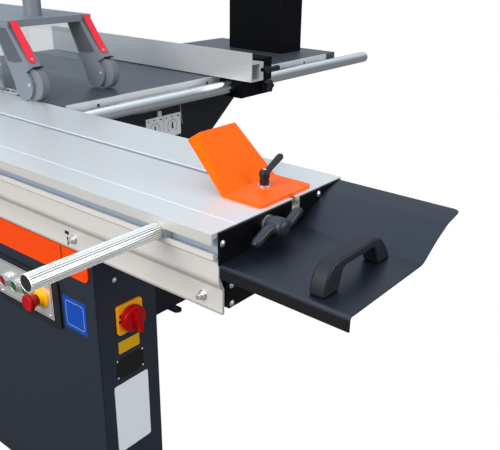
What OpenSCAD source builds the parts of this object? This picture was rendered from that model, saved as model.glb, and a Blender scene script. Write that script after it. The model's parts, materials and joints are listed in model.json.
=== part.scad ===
// Sliding table saw: a carriage on a long rail, a tilting and rising saw unit in a sheet steel base,
// a rip fence on a round bar and a guard hood on a boom.
// Working frame: x to the right, y along the cut, z up, zero at the carriage's front left top corner.
// The finished part stands on z = 0 with the middle of its footprint at the origin.

/* [Carriage] */
// Height of the table above the floor
table_h = 850; // [800:1:920]
// Length of the sliding carriage and of its rail
carriage_len = 2600; // [2300:10:3200]
// Width of the carriage's top
carriage_w = 360; // [350:1:380]
// Depth of the carriage's box below its top
box_h = 57; // [52:1:60]
// Width of the carriage's box
box_w = 246; // [240:1:252]
// Wall of the carriage's extrusion
wall_t = 6; // [4:0.5:7]
// Depth of the carriage's side skirt below its top
skirt_h = 149; // [140:0.5:149]
// Middle of the top T-slot from the carriage's left edge
slot_x = 214; // [205:1:218]
// Width of the T-slot's mouth
slot_mouth = 16; // [12:1:18]
// Width of the T-slot's undercut
slot_under = 28; // [26:1:32]

/* [Rail] */
// Width of the fixed rail
rail_w = 169; // [160:1:175]
// Height of the fixed rail
rail_h = 56; // [50:1:60]
// Diameter of the balls in the roller cage
ball_d = 20; // [18:0.5:22]

/* [Handles] */
// Diameter of the push handle's tube
tube_d = 27; // [24:1:28]
// Reach of the push handle from the carriage's side
tube_reach = 244; // [200:1:300]
// Span of the lock handle's wings
wing_span = 129; // [110:1:132]

/* [Tray] */
// Length of the front tray
tray_len = 236; // [200:1:260]
// Thickness of the tray's sheet
tray_t = 2.5; // [2:0.5:3]
// Height of the bridge handle on the tray
bridge_h = 48; // [45:1:56]

/* [Clamp shoe] */
// Width of the clamp shoe
shoe_w = 146; // [130:1:150]
// Depth of the clamp shoe's foot
shoe_foot = 85; // [75:1:95]
// Length of the sloping plate
shoe_slant = 130; // [110:1:150]
// Slope of the sloping plate in degrees
shoe_slope = 40; // [30:1:60]
// Thickness of the shoe's plate
shoe_t = 5; // [4:0.5:6]

/* [Base] */
// Width of the pillars
pillar_w = 158; // [140:1:165]
// Distance of the pillars' end faces from the rail's ends
pillar_setback = 333; // [300:1:400]
// Thickness of the base's sheet
sheet_t = 3; // [2:0.5:4]
// Width of the cabinet under the tables
cabinet_w = 889; // [860:1:920]
// Depth of the cabinet
cabinet_d = 733; // [700:1:760]
// Height of the coloured trim strip
trim_h = 61; // [50:1:80]
// Radius of the dust port
dust_r = 60; // [50:1:75]

/* [Tables] */
// Width of the main table
main_w = 634; // [600:1:680]
// Width of the extension table
ext_w = 673; // [660:1:760]
// Depth of the main table
main_d = 842; // [820:1:880]
// Depth of the extension table
ext_d = 600; // [560:1:700]
// Height of the tables' castings
table_t = 60; // [50:1:62]
// Thickness of the tables' top plates
plate_t = 12; // [10:1:16]

/* [Fence] */
// Diameter of the fence bar
bar_d = 40; // [36:1:42]
// Height of the fence profile
fence_h = 88; // [75:1:100]
// Width of the fence profile
fence_w = 60; // [55:1:64]
// Length of the fence profile
fence_len = 1000; // [900:10:1100]
// Place of the fence's face from the main table's left edge
fence_x = 574; // [540:1:600]

/* [Guard] */
// Radius of the guard's rollers
roller_r = 43; // [38:0.5:44]
// Distance between the guard's arms
arm_gap = 238; // [220:1:250]
// Height of the boom above the table
boom_z = 330; // [315:1:335]
// Height of the guard's post
post_h = 400; // [395:1:450]

/* [Saw unit] */
// Radius of the saw blade
blade_r = 175; // [150:1:177]
// Thickness of the saw blade
blade_t = 3.2; // [2.2:0.2:3.6]
// Depth of the arbor below the table
arbor_depth = 105; // [100:1:112]
// Radius of the arbor
arbor_r = 15; // [12:0.5:16]
// Radius of the trunnions about the tilt axis
trunnion_r = 200; // [190:1:205]
// Radius of the guide posts
post_r = 14; // [12:0.5:16]
// Radius of the motor
motor_r = 80; // [70:1:85]

/* [Controls] */
// Width of the control panel
panel_w = 254; // [236:1:290]
// Height of the control panel
panel_h = 116; // [110:1:130]
// Radius of the push buttons
button_r = 11; // [9:0.5:12]
// Radius of the emergency stop's head
stop_r = 18; // [16:0.5:22]
// Side of the main switch's plate
switch_w = 66; // [60:1:70]
// Radius of the handwheels
wheel_r = 75; // [60:1:85]

/* [Hidden] */
$fn = 64;

// Cuts run past the faces that they open by this much
over = 1;
// Gap between faces that pass each other, and the radial gap of a running fit
clear = 0.3;
fit = 0.05;

// Carriage profile
side_depth = 16;
lip_t = 4;
lip_drop = 19;
lip_low = 45;
lip_low_h = 10;
plate_top_t = 9;
slot_depth = 17;
slot_wall = 6;
groove_x = 56;
groove_w = 3;
groove_deep = 1.5;
joggle_top = 84;
joggle_low = 103;
joggle_in = 9;
skirt_t = 4;
web_x = 110;
box_x1 = side_depth + box_w;
track_t = 3;
track_w = 26;
track_in = 36;
// End plates of the carriage
end_t = 4;
end_drop = 1.5;
end_in = 2;
end_x0 = side_depth - end_in;
end_x1 = carriage_w - 2 * skirt_t;
end_slope_x = carriage_w + side_depth + over;
notch_deep = 25;
end_screw_r = 6;
end_screw_h = 2.5;
end_screw_left = 21;
end_screw_right = 281;
end_screw_left_z = -20.5;
end_screw_right_z = -11;
// Lock handle on the front end plate
lock_x = 131;
lock_z = -21;
lock_ring_r = 15;
lock_ring_t = 4;
lock_hub_r = 17;
lock_hub_len = 35;
lock_shaft_r = 5;
lock_shaft_len = 12;
lock_tip_r = 7;
lock_root_r = 9;
lock_blade_t = 14;
lock_tilt = 8;
// Skirt bolts
bolt_front_y = 42;
bolt_rear_y = 378;
bolt_drop = 126;
bolt_r = 4;
bolt_out = 14;
nut_r = 7;
nut_t = 6;
washer_r = 9;
washer_t = 1.5;
bolt_head_t = 2.5;
// Tray
tray_drop = 53.5;
tray_x0 = 8;
tray_flat_x1 = 223;
tray_x1 = 350;
tray_rise = 51.5;
tray_flange = 24;
tray_corner_r = 20;
wing_steps = 12;
// Bridge handle
bridge_x0 = 25;
bridge_x1 = 215;
bridge_y = -174;
bridge_w = 27;
bridge_leg = 40;
bridge_bar = 15;
bridge_lean = 25;
bridge_lean_right = 41;
bridge_cut = 9;
// Clamp shoe
shoe_x0 = 131;
shoe_y0 = 9;
shoe_crease = 28;
shoe_corner_r = 10;
stud_y = 68;
stud_r = 6;
stud_top = 31;
tnut_t = 7;
tnut_len = 30;
shoe_washer_r = 11.5;
shoe_washer_t = 3;
lever_hub_r = 9;
lever_z0 = 20;
lever_hub_h = 15;
lever_len = 46;
lever_rise = 20;
lever_root_r = 6;
lever_tip_r = 6.5;
key_h = 6;
key_len = 30;
// Push handle in the side slot
push_y = 117;
push_z = -25;
push_stud_r = 4.5;
push_stud_len = 46;
push_nut_t = 7;
push_nut_h = 26;
push_nut_len = 34;
push_washer_r = 14;
push_washer_t = 3;
rib_count = 24;
rib_h = 0.8;
rib_w = 2;
cap_t = 6;
// Rail and cage
rail_x0 = 36;
rail_top = 84;
rail_wall = 6;
cap_plate_t = 4;
rail_screw_in = 16;
rail_screw_low = 7;
cage_t = 6;
cage_w = 24;
cage_len_share = 0.5;
ball_stations = 7;
block_len = 60;
// Base
base_x0 = 27;
base_top = 150;
trim_t = 4;
trim_end = 11;
trim_corner_r = 15;
trim_seam_y = 423;
trim_seam_w = 3;
trim_drop = 1;
pillar_screw_x = 78;
pillar_screw_z = -219;
lug_x0 = 300;
lug_x1 = 841;
lug_w = 34;
lug_len = 40;
lug_t = 8;
lug_hole_r = 7;
pillar_foot = 100;
gusset_reach = 345;
gusset_drop = 275;
dust_x = 600;
dust_z = -600;
dust_len = 60;
dust_wall = 3;
// Controls
panel_in = 114;
panel_top = 240;
panel_rim = 12;
panel_rim_low = 16;
panel_rim_y = 23;
panel_corner_r = 12;
plate_out = 5;
estop_in = 60;
start_front_in = 104;
start_rear_in = 147;
stop_in = 190;
button_z = -296;
bezel_r = 15;
bezel_t = 9;
button_proud = 1;
collar_r = 23.5;
collar_t = 5;
stop_head_h = 15;
stop_gap = 14;
panel_screw_r = 4;
panel_screw_in = 15;
panel_screw_low = 6;
switch_x = 107;
switch_z = -312;
switch_t = 8;
switch_corner_r = 6;
knob_r = 27;
knob_t = 12;
grip_w = 15;
grip_h = 18;
knob_shaft_r = 5;
tilt_wheel_x = 640;
rise_wheel_x = 810;
wheel_z = -380;
wheel_rim = 14;
wheel_hub_r = 20;
wheel_web_t = 8;
wheel_t = 24;
wheel_gap = 12;
wheel_shaft_r = 10;
wheel_shaft_in = 40;
// Tables
table_gap = 6;
blade_gap = 30;
blade_setback = 442;
cabinet_setback = 109;
rib_t = 10;
rib_pitch = 210;
insert_w = 36;
insert_len = 460;
insert_t = 8;
insert_ledge = 15;
insert_slot_left = 14;
insert_slot_right = 7;
insert_slot_len = 410;
strip_w = 8;
strip_h = 20;
strip_in = 8;
strip_short = 73;
// Fence bar and carrier
bar_y_gap = 58;
bar_drop = 27;
bar_over = 129;
bar_in = 10;
bar_stud_r = 6;
bar_stud_count = 4;
bar_stud_in = 70;
fence_lift = 3;
fence_front = 110;
fence_wall = 5;
chamber_h = 57;
slot_low = 26;
slot_high = 38;
slot_in = 9;
carrier_x0 = 35;
carrier_x1 = 180;
carrier_half = 42;
carrier_low = 62;
carrier_top = 68;
carrier_front = 100;
carrier_body = 54;
cleat_t = 6;
cleat_neck = 10;
fence_lever_x = 62;
fence_lever_z = 33;
fence_lever_len = 66;
fence_rod_r = 4.5;
fence_grip_r = 8;
fence_hub_r = 12;
fence_hub_t = 18;
fence_knob_x = 149;
fence_knob_z = -34;
fence_knob_r = 21;
fence_knob_t = 20;
fence_knob_neck = 10;
// Guard
post_in = 63;
post_w = 130;
post_in_y = 123;
post_d = 264;
boom_h = 60;
boom_w = 62;
boom_wall = 5;
stem_r = 25;
stem_wall = 3;
stem_top = 120;
collar_wall = 13;
arm_x0 = 340;
arm_w = 36;
cheek_t = 9;
axle_in = 100;
axle_r = 6;
roller_gap = 2;
lobe_in = 127;
lobe_z = 42;
lobe_r = 40;
hood_in = 172;
hood_len = 480;
arm_front = 12;
arm_rear = 70;
hood_z = 185;
hood_t = 18;
window_t = 3;
window_low = 14;
// Saw unit
flange_r = 35;
flange_t = 12;
arbor_right = 172;
pulley_x = 148;
pulley_w = 22;
arbor_pulley_r = 40;
motor_pulley_r = 55;
pulley_gap = 205;
belt_t = 5;
belt_w = 16;
housing_r = 34;
housing_x0 = 20;
web_dx = 50;
web_w = 40;
web_half = 50;
block_dx1 = 140;
block_top = 270;
block_t = 60;
block_half = 190;
guide_dx = 110;
guide_y = 150;
beam_half = 15;
beam_top = 247;
beam_t = 18;
beam_low = 530;
end_y = 270;
end_plate_t = 20;
tilt_x0 = 55;
tilt_x1 = 215;
tilt_low = 535;
tilt_high = 66;
seat_x0 = -10;
seat_x1 = 185;
motor_dx = 185;
motor_len = 225;
motor_shaft_r = 12;
shelf_half = 70;
shelf_t = 10;
knife_t = 2.8;
knife_in = 182;
knife_out = 218;
knife_low = -22;
knife_high = 52;
knife_foot_y = 173;
knife_foot_w = 17;
knife_foot_top = 190;

// Places that follow from the sizes above
mid_len = carriage_len / 2;
table_x0 = carriage_w + table_gap;
table_x1 = table_x0 + main_w;
ext_x1 = table_x1 + ext_w;
blade_x = carriage_w + blade_gap;
table_y0 = mid_len - blade_setback;
ext_y1 = table_y0 + ext_d;
table_y1 = table_y0 + main_d;
cabinet_x1 = base_x0 + cabinet_w;
cabinet_y0 = table_y0 + cabinet_setback;
cabinet_y1 = cabinet_y0 + cabinet_d;
rear_y = carriage_len - pillar_setback;
bar_y = table_y0 - bar_y_gap;
bar_x1 = ext_x1 + bar_over;
face_x = table_x0 + fence_x;
fence_y0 = bar_y - fence_front;
rail_x1 = rail_x0 + rail_w;
rail_low = rail_top + rail_h;
ball_z = -(box_h + track_t + clear + ball_d / 2);
rail_track_top = ball_z - ball_d / 2 - clear;
tray_z = -tray_drop;
panel_y0 = pillar_setback + panel_in;
estop_y = panel_y0 + estop_in;
start_front_y = panel_y0 + start_front_in;
start_rear_y = panel_y0 + start_rear_in;
stop_y = panel_y0 + stop_in;
control_ys = [estop_y, start_front_y, start_rear_y, stop_y];
x_min = -tube_reach;
x_max = bar_x1;
y_min = -end_t - tray_len;
y_max = carriage_len + end_t + end_screw_h;

// Sets the finished part on the floor with its middle at the origin
module placed() {
    translate([-(x_min + x_max) / 2, -(y_min + y_max) / 2, table_h]) children();
}

// Extrudes an (x, z) outline from y0 to y1
module along_y(y0, y1) {
    translate([0, y1, 0]) rotate([90, 0, 0]) linear_extrude(y1 - y0) children();
}

// Extrudes a (y, z) outline from x0 to x1
module along_x(x0, x1) {
    translate([x0, 0, 0]) rotate([90, 0, 90]) linear_extrude(x1 - x0) children();
}

module rect(u0, u1, v0, v1) {
    translate([u0, v0]) square([u1 - u0, v1 - v0]);
}

module box(x0, x1, y0, y1, z0, z1) {
    translate([x0, y0, z0]) cube([x1 - x0, y1 - y0, z1 - z0]);
}

module rod_x(x0, x1, y, z, r) {
    translate([x0, y, z]) rotate([0, 90, 0]) cylinder(h = x1 - x0, r = r);
}

module rod_y(x, y0, y1, z, r) {
    translate([x, y1, z]) rotate([90, 0, 0]) cylinder(h = y1 - y0, r = r);
}

module rod_z(x, y, z0, z1, r) {
    translate([x, y, z0]) cylinder(h = z1 - z0, r = r);
}

// Rectangle with all four corners rounded
module round_rect(u0, u1, v0, v1, r) {
    rect(u0 + r, u1 - r, v0, v1);
    rect(u0, u1, v0 + r, v1 - r);
    for (u = [u0 + r, u1 - r], v = [v0 + r, v1 - r])
        translate([u, v]) circle(r);
}

// Low dome of radius r and height h on the z = 0 plane
module dome(r, h) {
    ball = (r * r + h * h) / (2 * h);
    intersection() {
        translate([0, 0, h - ball]) sphere(ball);
        cylinder(h = h, r = r);
    }
}

// Carriage body
module carriage_profile() {
    difference() {
        union() {
            rect(0, carriage_w, -plate_top_t, 0);
            rect(0, lip_t, -lip_drop, 0);
            rect(lip_t, side_depth + lip_t, -lip_low, lip_t - lip_low);
            rect(lip_t, 2 * lip_t, -lip_low, lip_low_h - lip_low);
            rect(side_depth, side_depth + lip_t, -joggle_top, 0);
            rect(side_depth, box_x1, -box_h, wall_t - box_h);
            rect(box_x1 - wall_t, box_x1, -box_h, 0);
            rect(web_x, web_x + wall_t, -box_h, 0);
            rect(slot_x - slot_under / 2 - slot_wall, slot_x + slot_under / 2 + slot_wall,
                -slot_depth - slot_wall, 0);
            polygon([[side_depth, -joggle_top], [side_depth + lip_t, -joggle_top],
                [side_depth + joggle_in + skirt_t, -joggle_low],
                [side_depth + joggle_in, -joggle_low]]);
            rect(side_depth + joggle_in, side_depth + joggle_in + skirt_t, -skirt_h, -joggle_low);
        }
        rect(slot_x - slot_mouth / 2, slot_x + slot_mouth / 2, -slot_depth, over);
        rect(slot_x - slot_under / 2, slot_x + slot_under / 2, -slot_depth, -plate_top_t);
        rect(groove_x, groove_x + groove_w, -groove_deep, over);
    }
}

skirt_x = side_depth + joggle_in;
bolt_ys = [bolt_front_y, bolt_rear_y, carriage_len - bolt_rear_y, carriage_len - bolt_front_y];

module carriage() {
    color("gainsboro")
        placed() difference() {
            along_y(0, carriage_len) carriage_profile();
            for (y = bolt_ys)
                rod_x(skirt_x - over, skirt_x + skirt_t + over, y, -bolt_drop, bolt_r + fit);
            rod_y(lock_x, -over, lock_shaft_len + over, lock_z, lock_shaft_r + fit);
        }
}

track_xs = [rail_x0 + track_in, rail_x1 - track_in];

module carriage_tracks() {
    color("silver")
        placed() for (x = track_xs)
            box(x - track_w / 2, x + track_w / 2, 0, carriage_len, -box_h - track_t, -box_h);
}

// Outline of the black plate that closes an end of the carriage
module end_outline() {
    difference() {
        polygon([[end_x0, -end_drop], [end_x1, -end_drop], [end_x1, end_x1 - end_slope_x],
            [end_slope_x - box_h, -box_h], [end_x0, -box_h]]);
        rect(slot_x - slot_under / 2, slot_x + slot_under / 2, -end_drop - notch_deep, over);
    }
}

module end_plates() {
    color("black")
        placed() difference() {
            union() {
                along_y(-end_t, 0) end_outline();
                along_y(carriage_len, carriage_len + end_t) end_outline();
            }
            rod_y(lock_x, -end_t - over, over, lock_z, lock_shaft_r + fit);
        }
}

module end_screw(x, y, z, turn) {
    translate([x, y, z]) rotate([turn, 0, 0]) dome(end_screw_r, end_screw_h);
}

module end_plate_hardware() {
    color("silver")
        placed() {
            end_screw(end_screw_left, -end_t, end_screw_left_z, 90);
            end_screw(end_screw_right, -end_t, end_screw_right_z, 90);
            end_screw(end_screw_left, carriage_len + end_t, end_screw_left_z, -90);
            end_screw(end_screw_right, carriage_len + end_t, end_screw_right_z, -90);
            rod_y(lock_x, -end_t - lock_ring_t, -end_t, lock_z, lock_ring_r);
            rod_y(lock_x, -end_t - lock_ring_t - lock_hub_len / 2, lock_shaft_len, lock_z, lock_shaft_r);
        }
}

module skirt_bolts() {
    color("silver")
        placed() for (y = bolt_ys) {
            rod_x(skirt_x - bolt_out, skirt_x + skirt_t, y, -bolt_drop, bolt_r);
            rod_x(skirt_x - washer_t, skirt_x, y, -bolt_drop, washer_r);
            translate([skirt_x - washer_t - nut_t, y, -bolt_drop])
                rotate([0, 90, 0]) cylinder(h = nut_t, r = nut_r, $fn = 6);
            rod_x(skirt_x + skirt_t, skirt_x + skirt_t + bolt_head_t, y, -bolt_drop, nut_r);
        }
}

// Tray: a flat floor, a turned down left edge and a right wing that curls up
function wing_z(t) = tray_z + tray_rise * sin(90 * t);
function wing_x(t) = tray_flat_x1 + (tray_x1 - tray_flat_x1) * t;

module tray() {
    steps = [for (i = [0 : wing_steps]) i / wing_steps];
    upper = [for (t = steps) [wing_x(t), wing_z(t)]];
    lower = [for (i = [wing_steps : -1 : 0]) [wing_x(i / wing_steps), wing_z(i / wing_steps) - tray_t]];
    color("darkslategray")
        placed() intersection() {
            along_y(-end_t - tray_len, -end_t)
                polygon(concat([[tray_x0, tray_z]], upper, lower,
                    [[tray_x0 + tray_t, tray_z - tray_t], [tray_x0 + tray_t, tray_z - tray_flange],
                    [tray_x0, tray_z - tray_flange]]));
            translate([0, 0, -skirt_h]) linear_extrude(skirt_h) difference() {
                rect(0, carriage_w, -end_t - tray_len - over, 0);
                translate([tray_x1 - tray_corner_r, -end_t - tray_len + tray_corner_r]) difference() {
                    translate([0, -tray_corner_r - 2 * over])
                        square([2 * tray_corner_r, tray_corner_r + 2 * over]);
                    circle(tray_corner_r);
                }
            }
        }
}

module tray_handle() {
    top = tray_z + bridge_h;
    low = tray_z;
    color("dimgray")
        placed() along_y(bridge_y - bridge_w / 2, bridge_y + bridge_w / 2) difference() {
            polygon([[bridge_x0, low], [bridge_x0, low + bridge_cut],
                [bridge_x0 + bridge_lean - bridge_cut, top - bridge_cut],
                [bridge_x0 + bridge_lean + bridge_cut, top],
                [bridge_x1 - bridge_lean_right - bridge_cut, top],
                [bridge_x1 - bridge_lean_right + bridge_cut, top - bridge_cut],
                [bridge_x1, low + bridge_cut], [bridge_x1, low]]);
            polygon([[bridge_x0 + bridge_leg, low - over], [bridge_x0 + bridge_leg, low],
                [bridge_x0 + bridge_leg + bridge_cut, top - bridge_bar],
                [bridge_x1 - bridge_leg - bridge_cut, top - bridge_bar],
                [bridge_x1 - bridge_leg, low], [bridge_x1 - bridge_leg, low - over]]);
        }
}

module lock_handle() {
    y1 = -end_t - lock_ring_t - clear;
    y0 = y1 - lock_hub_len;
    blade_y = y1 - lock_hub_len / 2;
    reach = wing_span / 2 - lock_tip_r;
    color("black")
        placed() difference() {
            union() {
                rod_y(lock_x, y0, y1, lock_z, lock_hub_r);
                translate([lock_x, 0, lock_z]) rotate([0, -lock_tilt, 0]) for (side = [-1, 1])
                    hull() {
                        rod_y(0, blade_y - lock_blade_t / 2, blade_y + lock_blade_t / 2, 0, lock_root_r);
                        rod_y(side * reach, blade_y - lock_blade_t / 2, blade_y + lock_blade_t / 2, 0,
                            lock_tip_r);
                    }
            }
            rod_y(lock_x, y0 + lock_hub_len / 2 - clear - lock_ring_t, y1 + over, lock_z,
                lock_shaft_r + fit);
        }
}

// Clamp shoe
fold_y = shoe_y0 + shoe_foot;

// Plan of the shoe: a foot with round corners and a sloping plate that narrows towards its top.
// A key below the foot runs in the slot.
module shoe_outline() {
    y1 = fold_y + shoe_slant;
    x1 = shoe_x0 + shoe_w;
    round_rect(shoe_x0, x1, shoe_y0, fold_y, shoe_corner_r);
    polygon([[shoe_x0, fold_y - shoe_corner_r], [x1, fold_y - shoe_corner_r], [x1, y1],
        [shoe_x0 + shoe_crease, y1], [shoe_x0, fold_y]]);
}

module shoe_plate() {
    rise = [cos(shoe_slope), sin(shoe_slope)];
    out = [-sin(shoe_slope), cos(shoe_slope)];
    far = [fold_y, clear] + shoe_slant * rise;
    color("darkorange")
        placed() difference() {
            union() {
                intersection() {
                    along_x(shoe_x0, shoe_x0 + shoe_w)
                        polygon([[shoe_y0, clear], [fold_y, clear], far, far + shoe_t * out,
                            [fold_y - shoe_t * tan(shoe_slope / 2), clear + shoe_t],
                            [shoe_y0, clear + shoe_t]]);
                    linear_extrude(shoe_slant) shoe_outline();
                }
                box(slot_x - slot_mouth / 2 + clear, slot_x + slot_mouth / 2 - clear, shoe_y0,
                    shoe_y0 + key_len, -key_h, clear + shoe_t / 2);
            }
            rod_z(slot_x, stud_y, -over, shoe_t + clear + over, stud_r + fit);
        }
}

module shoe_stud() {
    top = shoe_t + clear;
    color("silver")
        placed() {
            box(slot_x - slot_under / 2 + clear, slot_x + slot_under / 2 - clear, stud_y - tnut_len / 2,
                stud_y + tnut_len / 2, -plate_top_t - clear - tnut_t, -plate_top_t - clear);
            rod_z(slot_x, stud_y, -plate_top_t - clear - over, stud_top, stud_r);
            difference() {
                rod_z(slot_x, stud_y, top, top + shoe_washer_t, shoe_washer_r);
                rod_z(slot_x, stud_y, top - over, top + shoe_washer_t + over, stud_r - fit);
            }
        }
}

module clamp_lever() {
    low = shoe_t + clear + shoe_washer_t;
    color("black")
        placed() difference() {
            union() {
                rod_z(slot_x, stud_y, low, lever_z0 + lever_hub_h, lever_hub_r);
                hull() {
                    translate([slot_x, stud_y, lever_z0 + lever_hub_h / 2]) sphere(lever_root_r, $fn = 32);
                    translate([slot_x + lever_len, stud_y, lever_z0 + lever_hub_h / 2 + lever_rise])
                        sphere(lever_tip_r, $fn = 32);
                }
            }
            rod_z(slot_x, stud_y, low - over, stud_top + clear, stud_r + fit);
        }
}

// Push handle in the side slot
module handle_stud() {
    color("silver")
        placed() {
            box(2 * lip_t + clear, 2 * lip_t + clear + push_nut_t, push_y - push_nut_len / 2,
                push_y + push_nut_len / 2, push_z - push_nut_h / 2, push_z + push_nut_h / 2);
            box(clear, 2 * lip_t + over, push_y - push_nut_len / 2, push_y + push_nut_len / 2,
                lip_low_h - lip_low + clear, -lip_drop - clear);
            rod_x(-push_stud_len, 2 * lip_t + over, push_y, push_z, push_stud_r);
            difference() {
                rod_x(-push_washer_t, 0, push_y, push_z, push_washer_r);
                rod_x(-push_washer_t - over, over, push_y, push_z, push_stud_r - fit);
            }
        }
}

module handle_grip() {
    color("silver")
        placed() difference() {
            along_x(cap_t - tube_reach, -push_washer_t - clear) translate([push_y, push_z]) {
                circle(tube_d / 2 - rib_h);
                for (i = [0 : rib_count - 1])
                    rotate(i * 360 / rib_count)
                        rect(tube_d / 2 - 2 * rib_h, tube_d / 2, -rib_w / 2, rib_w / 2);
            }
            rod_x(-push_stud_len - clear, 0, push_y, push_z, push_stud_r + fit);
        }
}

module handle_cap() {
    color("black")
        placed() translate([cap_t - tube_reach, push_y, push_z]) rotate([0, -90, 0])
            rotate_extrude() polygon([[0, 0], [tube_d / 2, 0], [tube_d / 2, cap_t / 2],
                [tube_d / 2 - cap_t / 2, cap_t], [0, cap_t]]);
}

// Roller cage between the carriage's and the rail's tracks
cage_len = carriage_len * cage_len_share;
cage_y0 = mid_len - cage_len / 2;

module roller_cage() {
    pitch = cage_len / ball_stations;
    color("slategray")
        placed() for (x = track_xs) {
            difference() {
                box(x - cage_w / 2, x + cage_w / 2, cage_y0, cage_y0 + cage_len, ball_z - cage_t / 2,
                    ball_z + cage_t / 2);
                for (i = [0 : ball_stations - 1])
                    rod_z(x, cage_y0 + (i + 1 / 2) * pitch, ball_z - cage_t, ball_z + cage_t,
                        ball_d / 2 + clear);
            }
            for (i = [0 : ball_stations - 1])
                translate([x, cage_y0 + (i + 1 / 2) * pitch, ball_z]) sphere(ball_d / 2);
        }
}

module slide_rail() {
    mid = (rail_x0 + rail_x1) / 2;
    color("silver")
        placed() along_y(0, carriage_len) difference() {
            rect(rail_x0, rail_x1, -rail_low, -rail_top);
            rect(rail_x0 + rail_wall, mid - rail_wall / 2, rail_wall - rail_low, -rail_wall - rail_top);
            rect(mid + rail_wall / 2, rail_x1 - rail_wall, rail_wall - rail_low, -rail_wall - rail_top);
        }
}

module rail_tracks() {
    color("silver")
        placed() for (x = track_xs)
            box(x - track_w / 2, x + track_w / 2, 0, carriage_len, -rail_top, rail_track_top);
}

module rail_caps() {
    color("black")
        placed() for (y = [-cap_plate_t, carriage_len])
            box(rail_x0, rail_x1, y, y + cap_plate_t, -rail_low, -rail_top);
}

// Base
module side_panel() {
    color("dimgray")
        placed() difference() {
            box(base_x0, base_x0 + sheet_t, pillar_setback, rear_y, lug_t - table_h, -base_top);
            for (y = control_ys)
                rod_x(base_x0 - over, base_x0 + sheet_t + over, y, button_z, button_r + clear);
        }
}

module pillar_panels() {
    low = lug_t - table_h;
    x0 = base_x0 + sheet_t;
    x1 = base_x0 + pillar_w;
    color("dimgray")
        placed() {
            box(x0, x1, pillar_setback, pillar_setback + sheet_t, low, -base_top);
            box(x0, x1, rear_y - sheet_t, rear_y, low, -base_top);
            box(x1 - sheet_t, x1, pillar_setback + sheet_t, cabinet_y0, low, -base_top);
            box(x1 - sheet_t, x1, cabinet_y1, rear_y - sheet_t, low, -base_top);
            box(x0, x1 - sheet_t, pillar_setback + sheet_t, cabinet_y0, -base_top - sheet_t, -base_top);
            box(x0, x1 - sheet_t, cabinet_y1, rear_y - sheet_t, -base_top - sheet_t, -base_top);
            for (y = [pillar_setback + block_len / 2, cabinet_y0 - block_len, cabinet_y1 + block_len,
                rear_y - block_len / 2])
                box(rail_x0 + rail_wall, base_x0 + pillar_w - sheet_t, y - block_len / 2, y + block_len / 2,
                    -base_top, -rail_low);
        }
}

// Cabinet's front or rear sheet, with its low stretch under the rail
module cabinet_outline() {
    polygon([[base_x0 + sheet_t, lug_t - table_h], [cabinet_x1, lug_t - table_h],
        [cabinet_x1, -table_t], [table_x0, -table_t], [table_x0, -base_top],
        [base_x0 + sheet_t, -base_top]]);
}

module gusset_outline() {
    polygon([[cabinet_x1, -table_t], [cabinet_x1 + gusset_reach, -table_t],
        [cabinet_x1, -table_t - gusset_drop]]);
}

module cabinet_panels() {
    color("dimgray")
        placed() {
            difference() {
                along_y(cabinet_y0, cabinet_y0 + sheet_t) cabinet_outline();
                for (x = [tilt_wheel_x, rise_wheel_x])
                    rod_y(x, cabinet_y0 - over, cabinet_y0 + sheet_t + over, wheel_z, wheel_shaft_r + fit);
            }
            difference() {
                along_y(cabinet_y1 - sheet_t, cabinet_y1) cabinet_outline();
                rod_y(dust_x, cabinet_y1 - sheet_t - over, cabinet_y1 + over, dust_z, dust_r - dust_wall);
            }
            box(cabinet_x1 - sheet_t, cabinet_x1, cabinet_y0 + sheet_t, cabinet_y1 - sheet_t,
                lug_t - table_h, -table_t);
            along_y(cabinet_y0, cabinet_y0 + sheet_t) gusset_outline();
            along_y(ext_y1 - rib_t, ext_y1 - rib_t + sheet_t) gusset_outline();
        }
}

module trim_strip() {
    y0 = pillar_setback + trim_end;
    top = -base_top - trim_drop;
    color("orangered")
        placed() along_x(base_x0 - trim_t, base_x0) difference() {
            union() {
                rect(y0, rear_y - trim_end, top - trim_h + trim_corner_r, top);
                rect(y0 + trim_corner_r, rear_y - trim_end - trim_corner_r, top - trim_h, top);
                for (y = [y0 + trim_corner_r, rear_y - trim_end - trim_corner_r])
                    translate([y, top - trim_h + trim_corner_r]) circle(trim_corner_r);
            }
            rect(trim_seam_y, trim_seam_y + trim_seam_w, top - trim_h - over, top - trim_h / 2);
        }
}

// Lug with a round nose and an anchor hole, reaching out along -y from the cabinet's foot
module lug(x, y, side) {
    nose = y + side * (lug_len - lug_w / 2);
    translate([0, 0, -table_h]) linear_extrude(lug_t) difference() {
        union() {
            rect(x - lug_w / 2, x + lug_w / 2, min(y - side * lug_len, nose), max(y - side * lug_len, nose));
            translate([x, nose]) circle(lug_w / 2);
        }
        translate([x, nose]) circle(lug_hole_r);
    }
}

module floor_lugs() {
    color("dimgray")
        placed() {
            for (x = [lug_x0, lug_x1]) {
                lug(x, cabinet_y0, -1);
                lug(x, cabinet_y1, 1);
            }
            for (y = [pillar_setback, rear_y - pillar_foot])
                box(base_x0, base_x0 + pillar_w, y, y + pillar_foot, -table_h, lug_t - table_h);
        }
}

module dust_port() {
    color("silver")
        placed() difference() {
            rod_y(dust_x, cabinet_y1, cabinet_y1 + dust_len, dust_z, dust_r);
            rod_y(dust_x, cabinet_y1 - over, cabinet_y1 + dust_len + over, dust_z, dust_r - dust_wall);
        }
}

// Controls on the side panel
plate_x0 = base_x0 - plate_out;

module panel_frame() {
    color("black")
        placed() along_x(plate_x0, base_x0) difference() {
            round_rect(panel_y0, panel_y0 + panel_w, -panel_top - panel_h, -panel_top, panel_corner_r);
            rect(panel_y0 + panel_rim_y, panel_y0 + panel_w - panel_rim_y,
                -panel_top - panel_h + panel_rim_low, -panel_top - panel_rim);
        }
}

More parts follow.
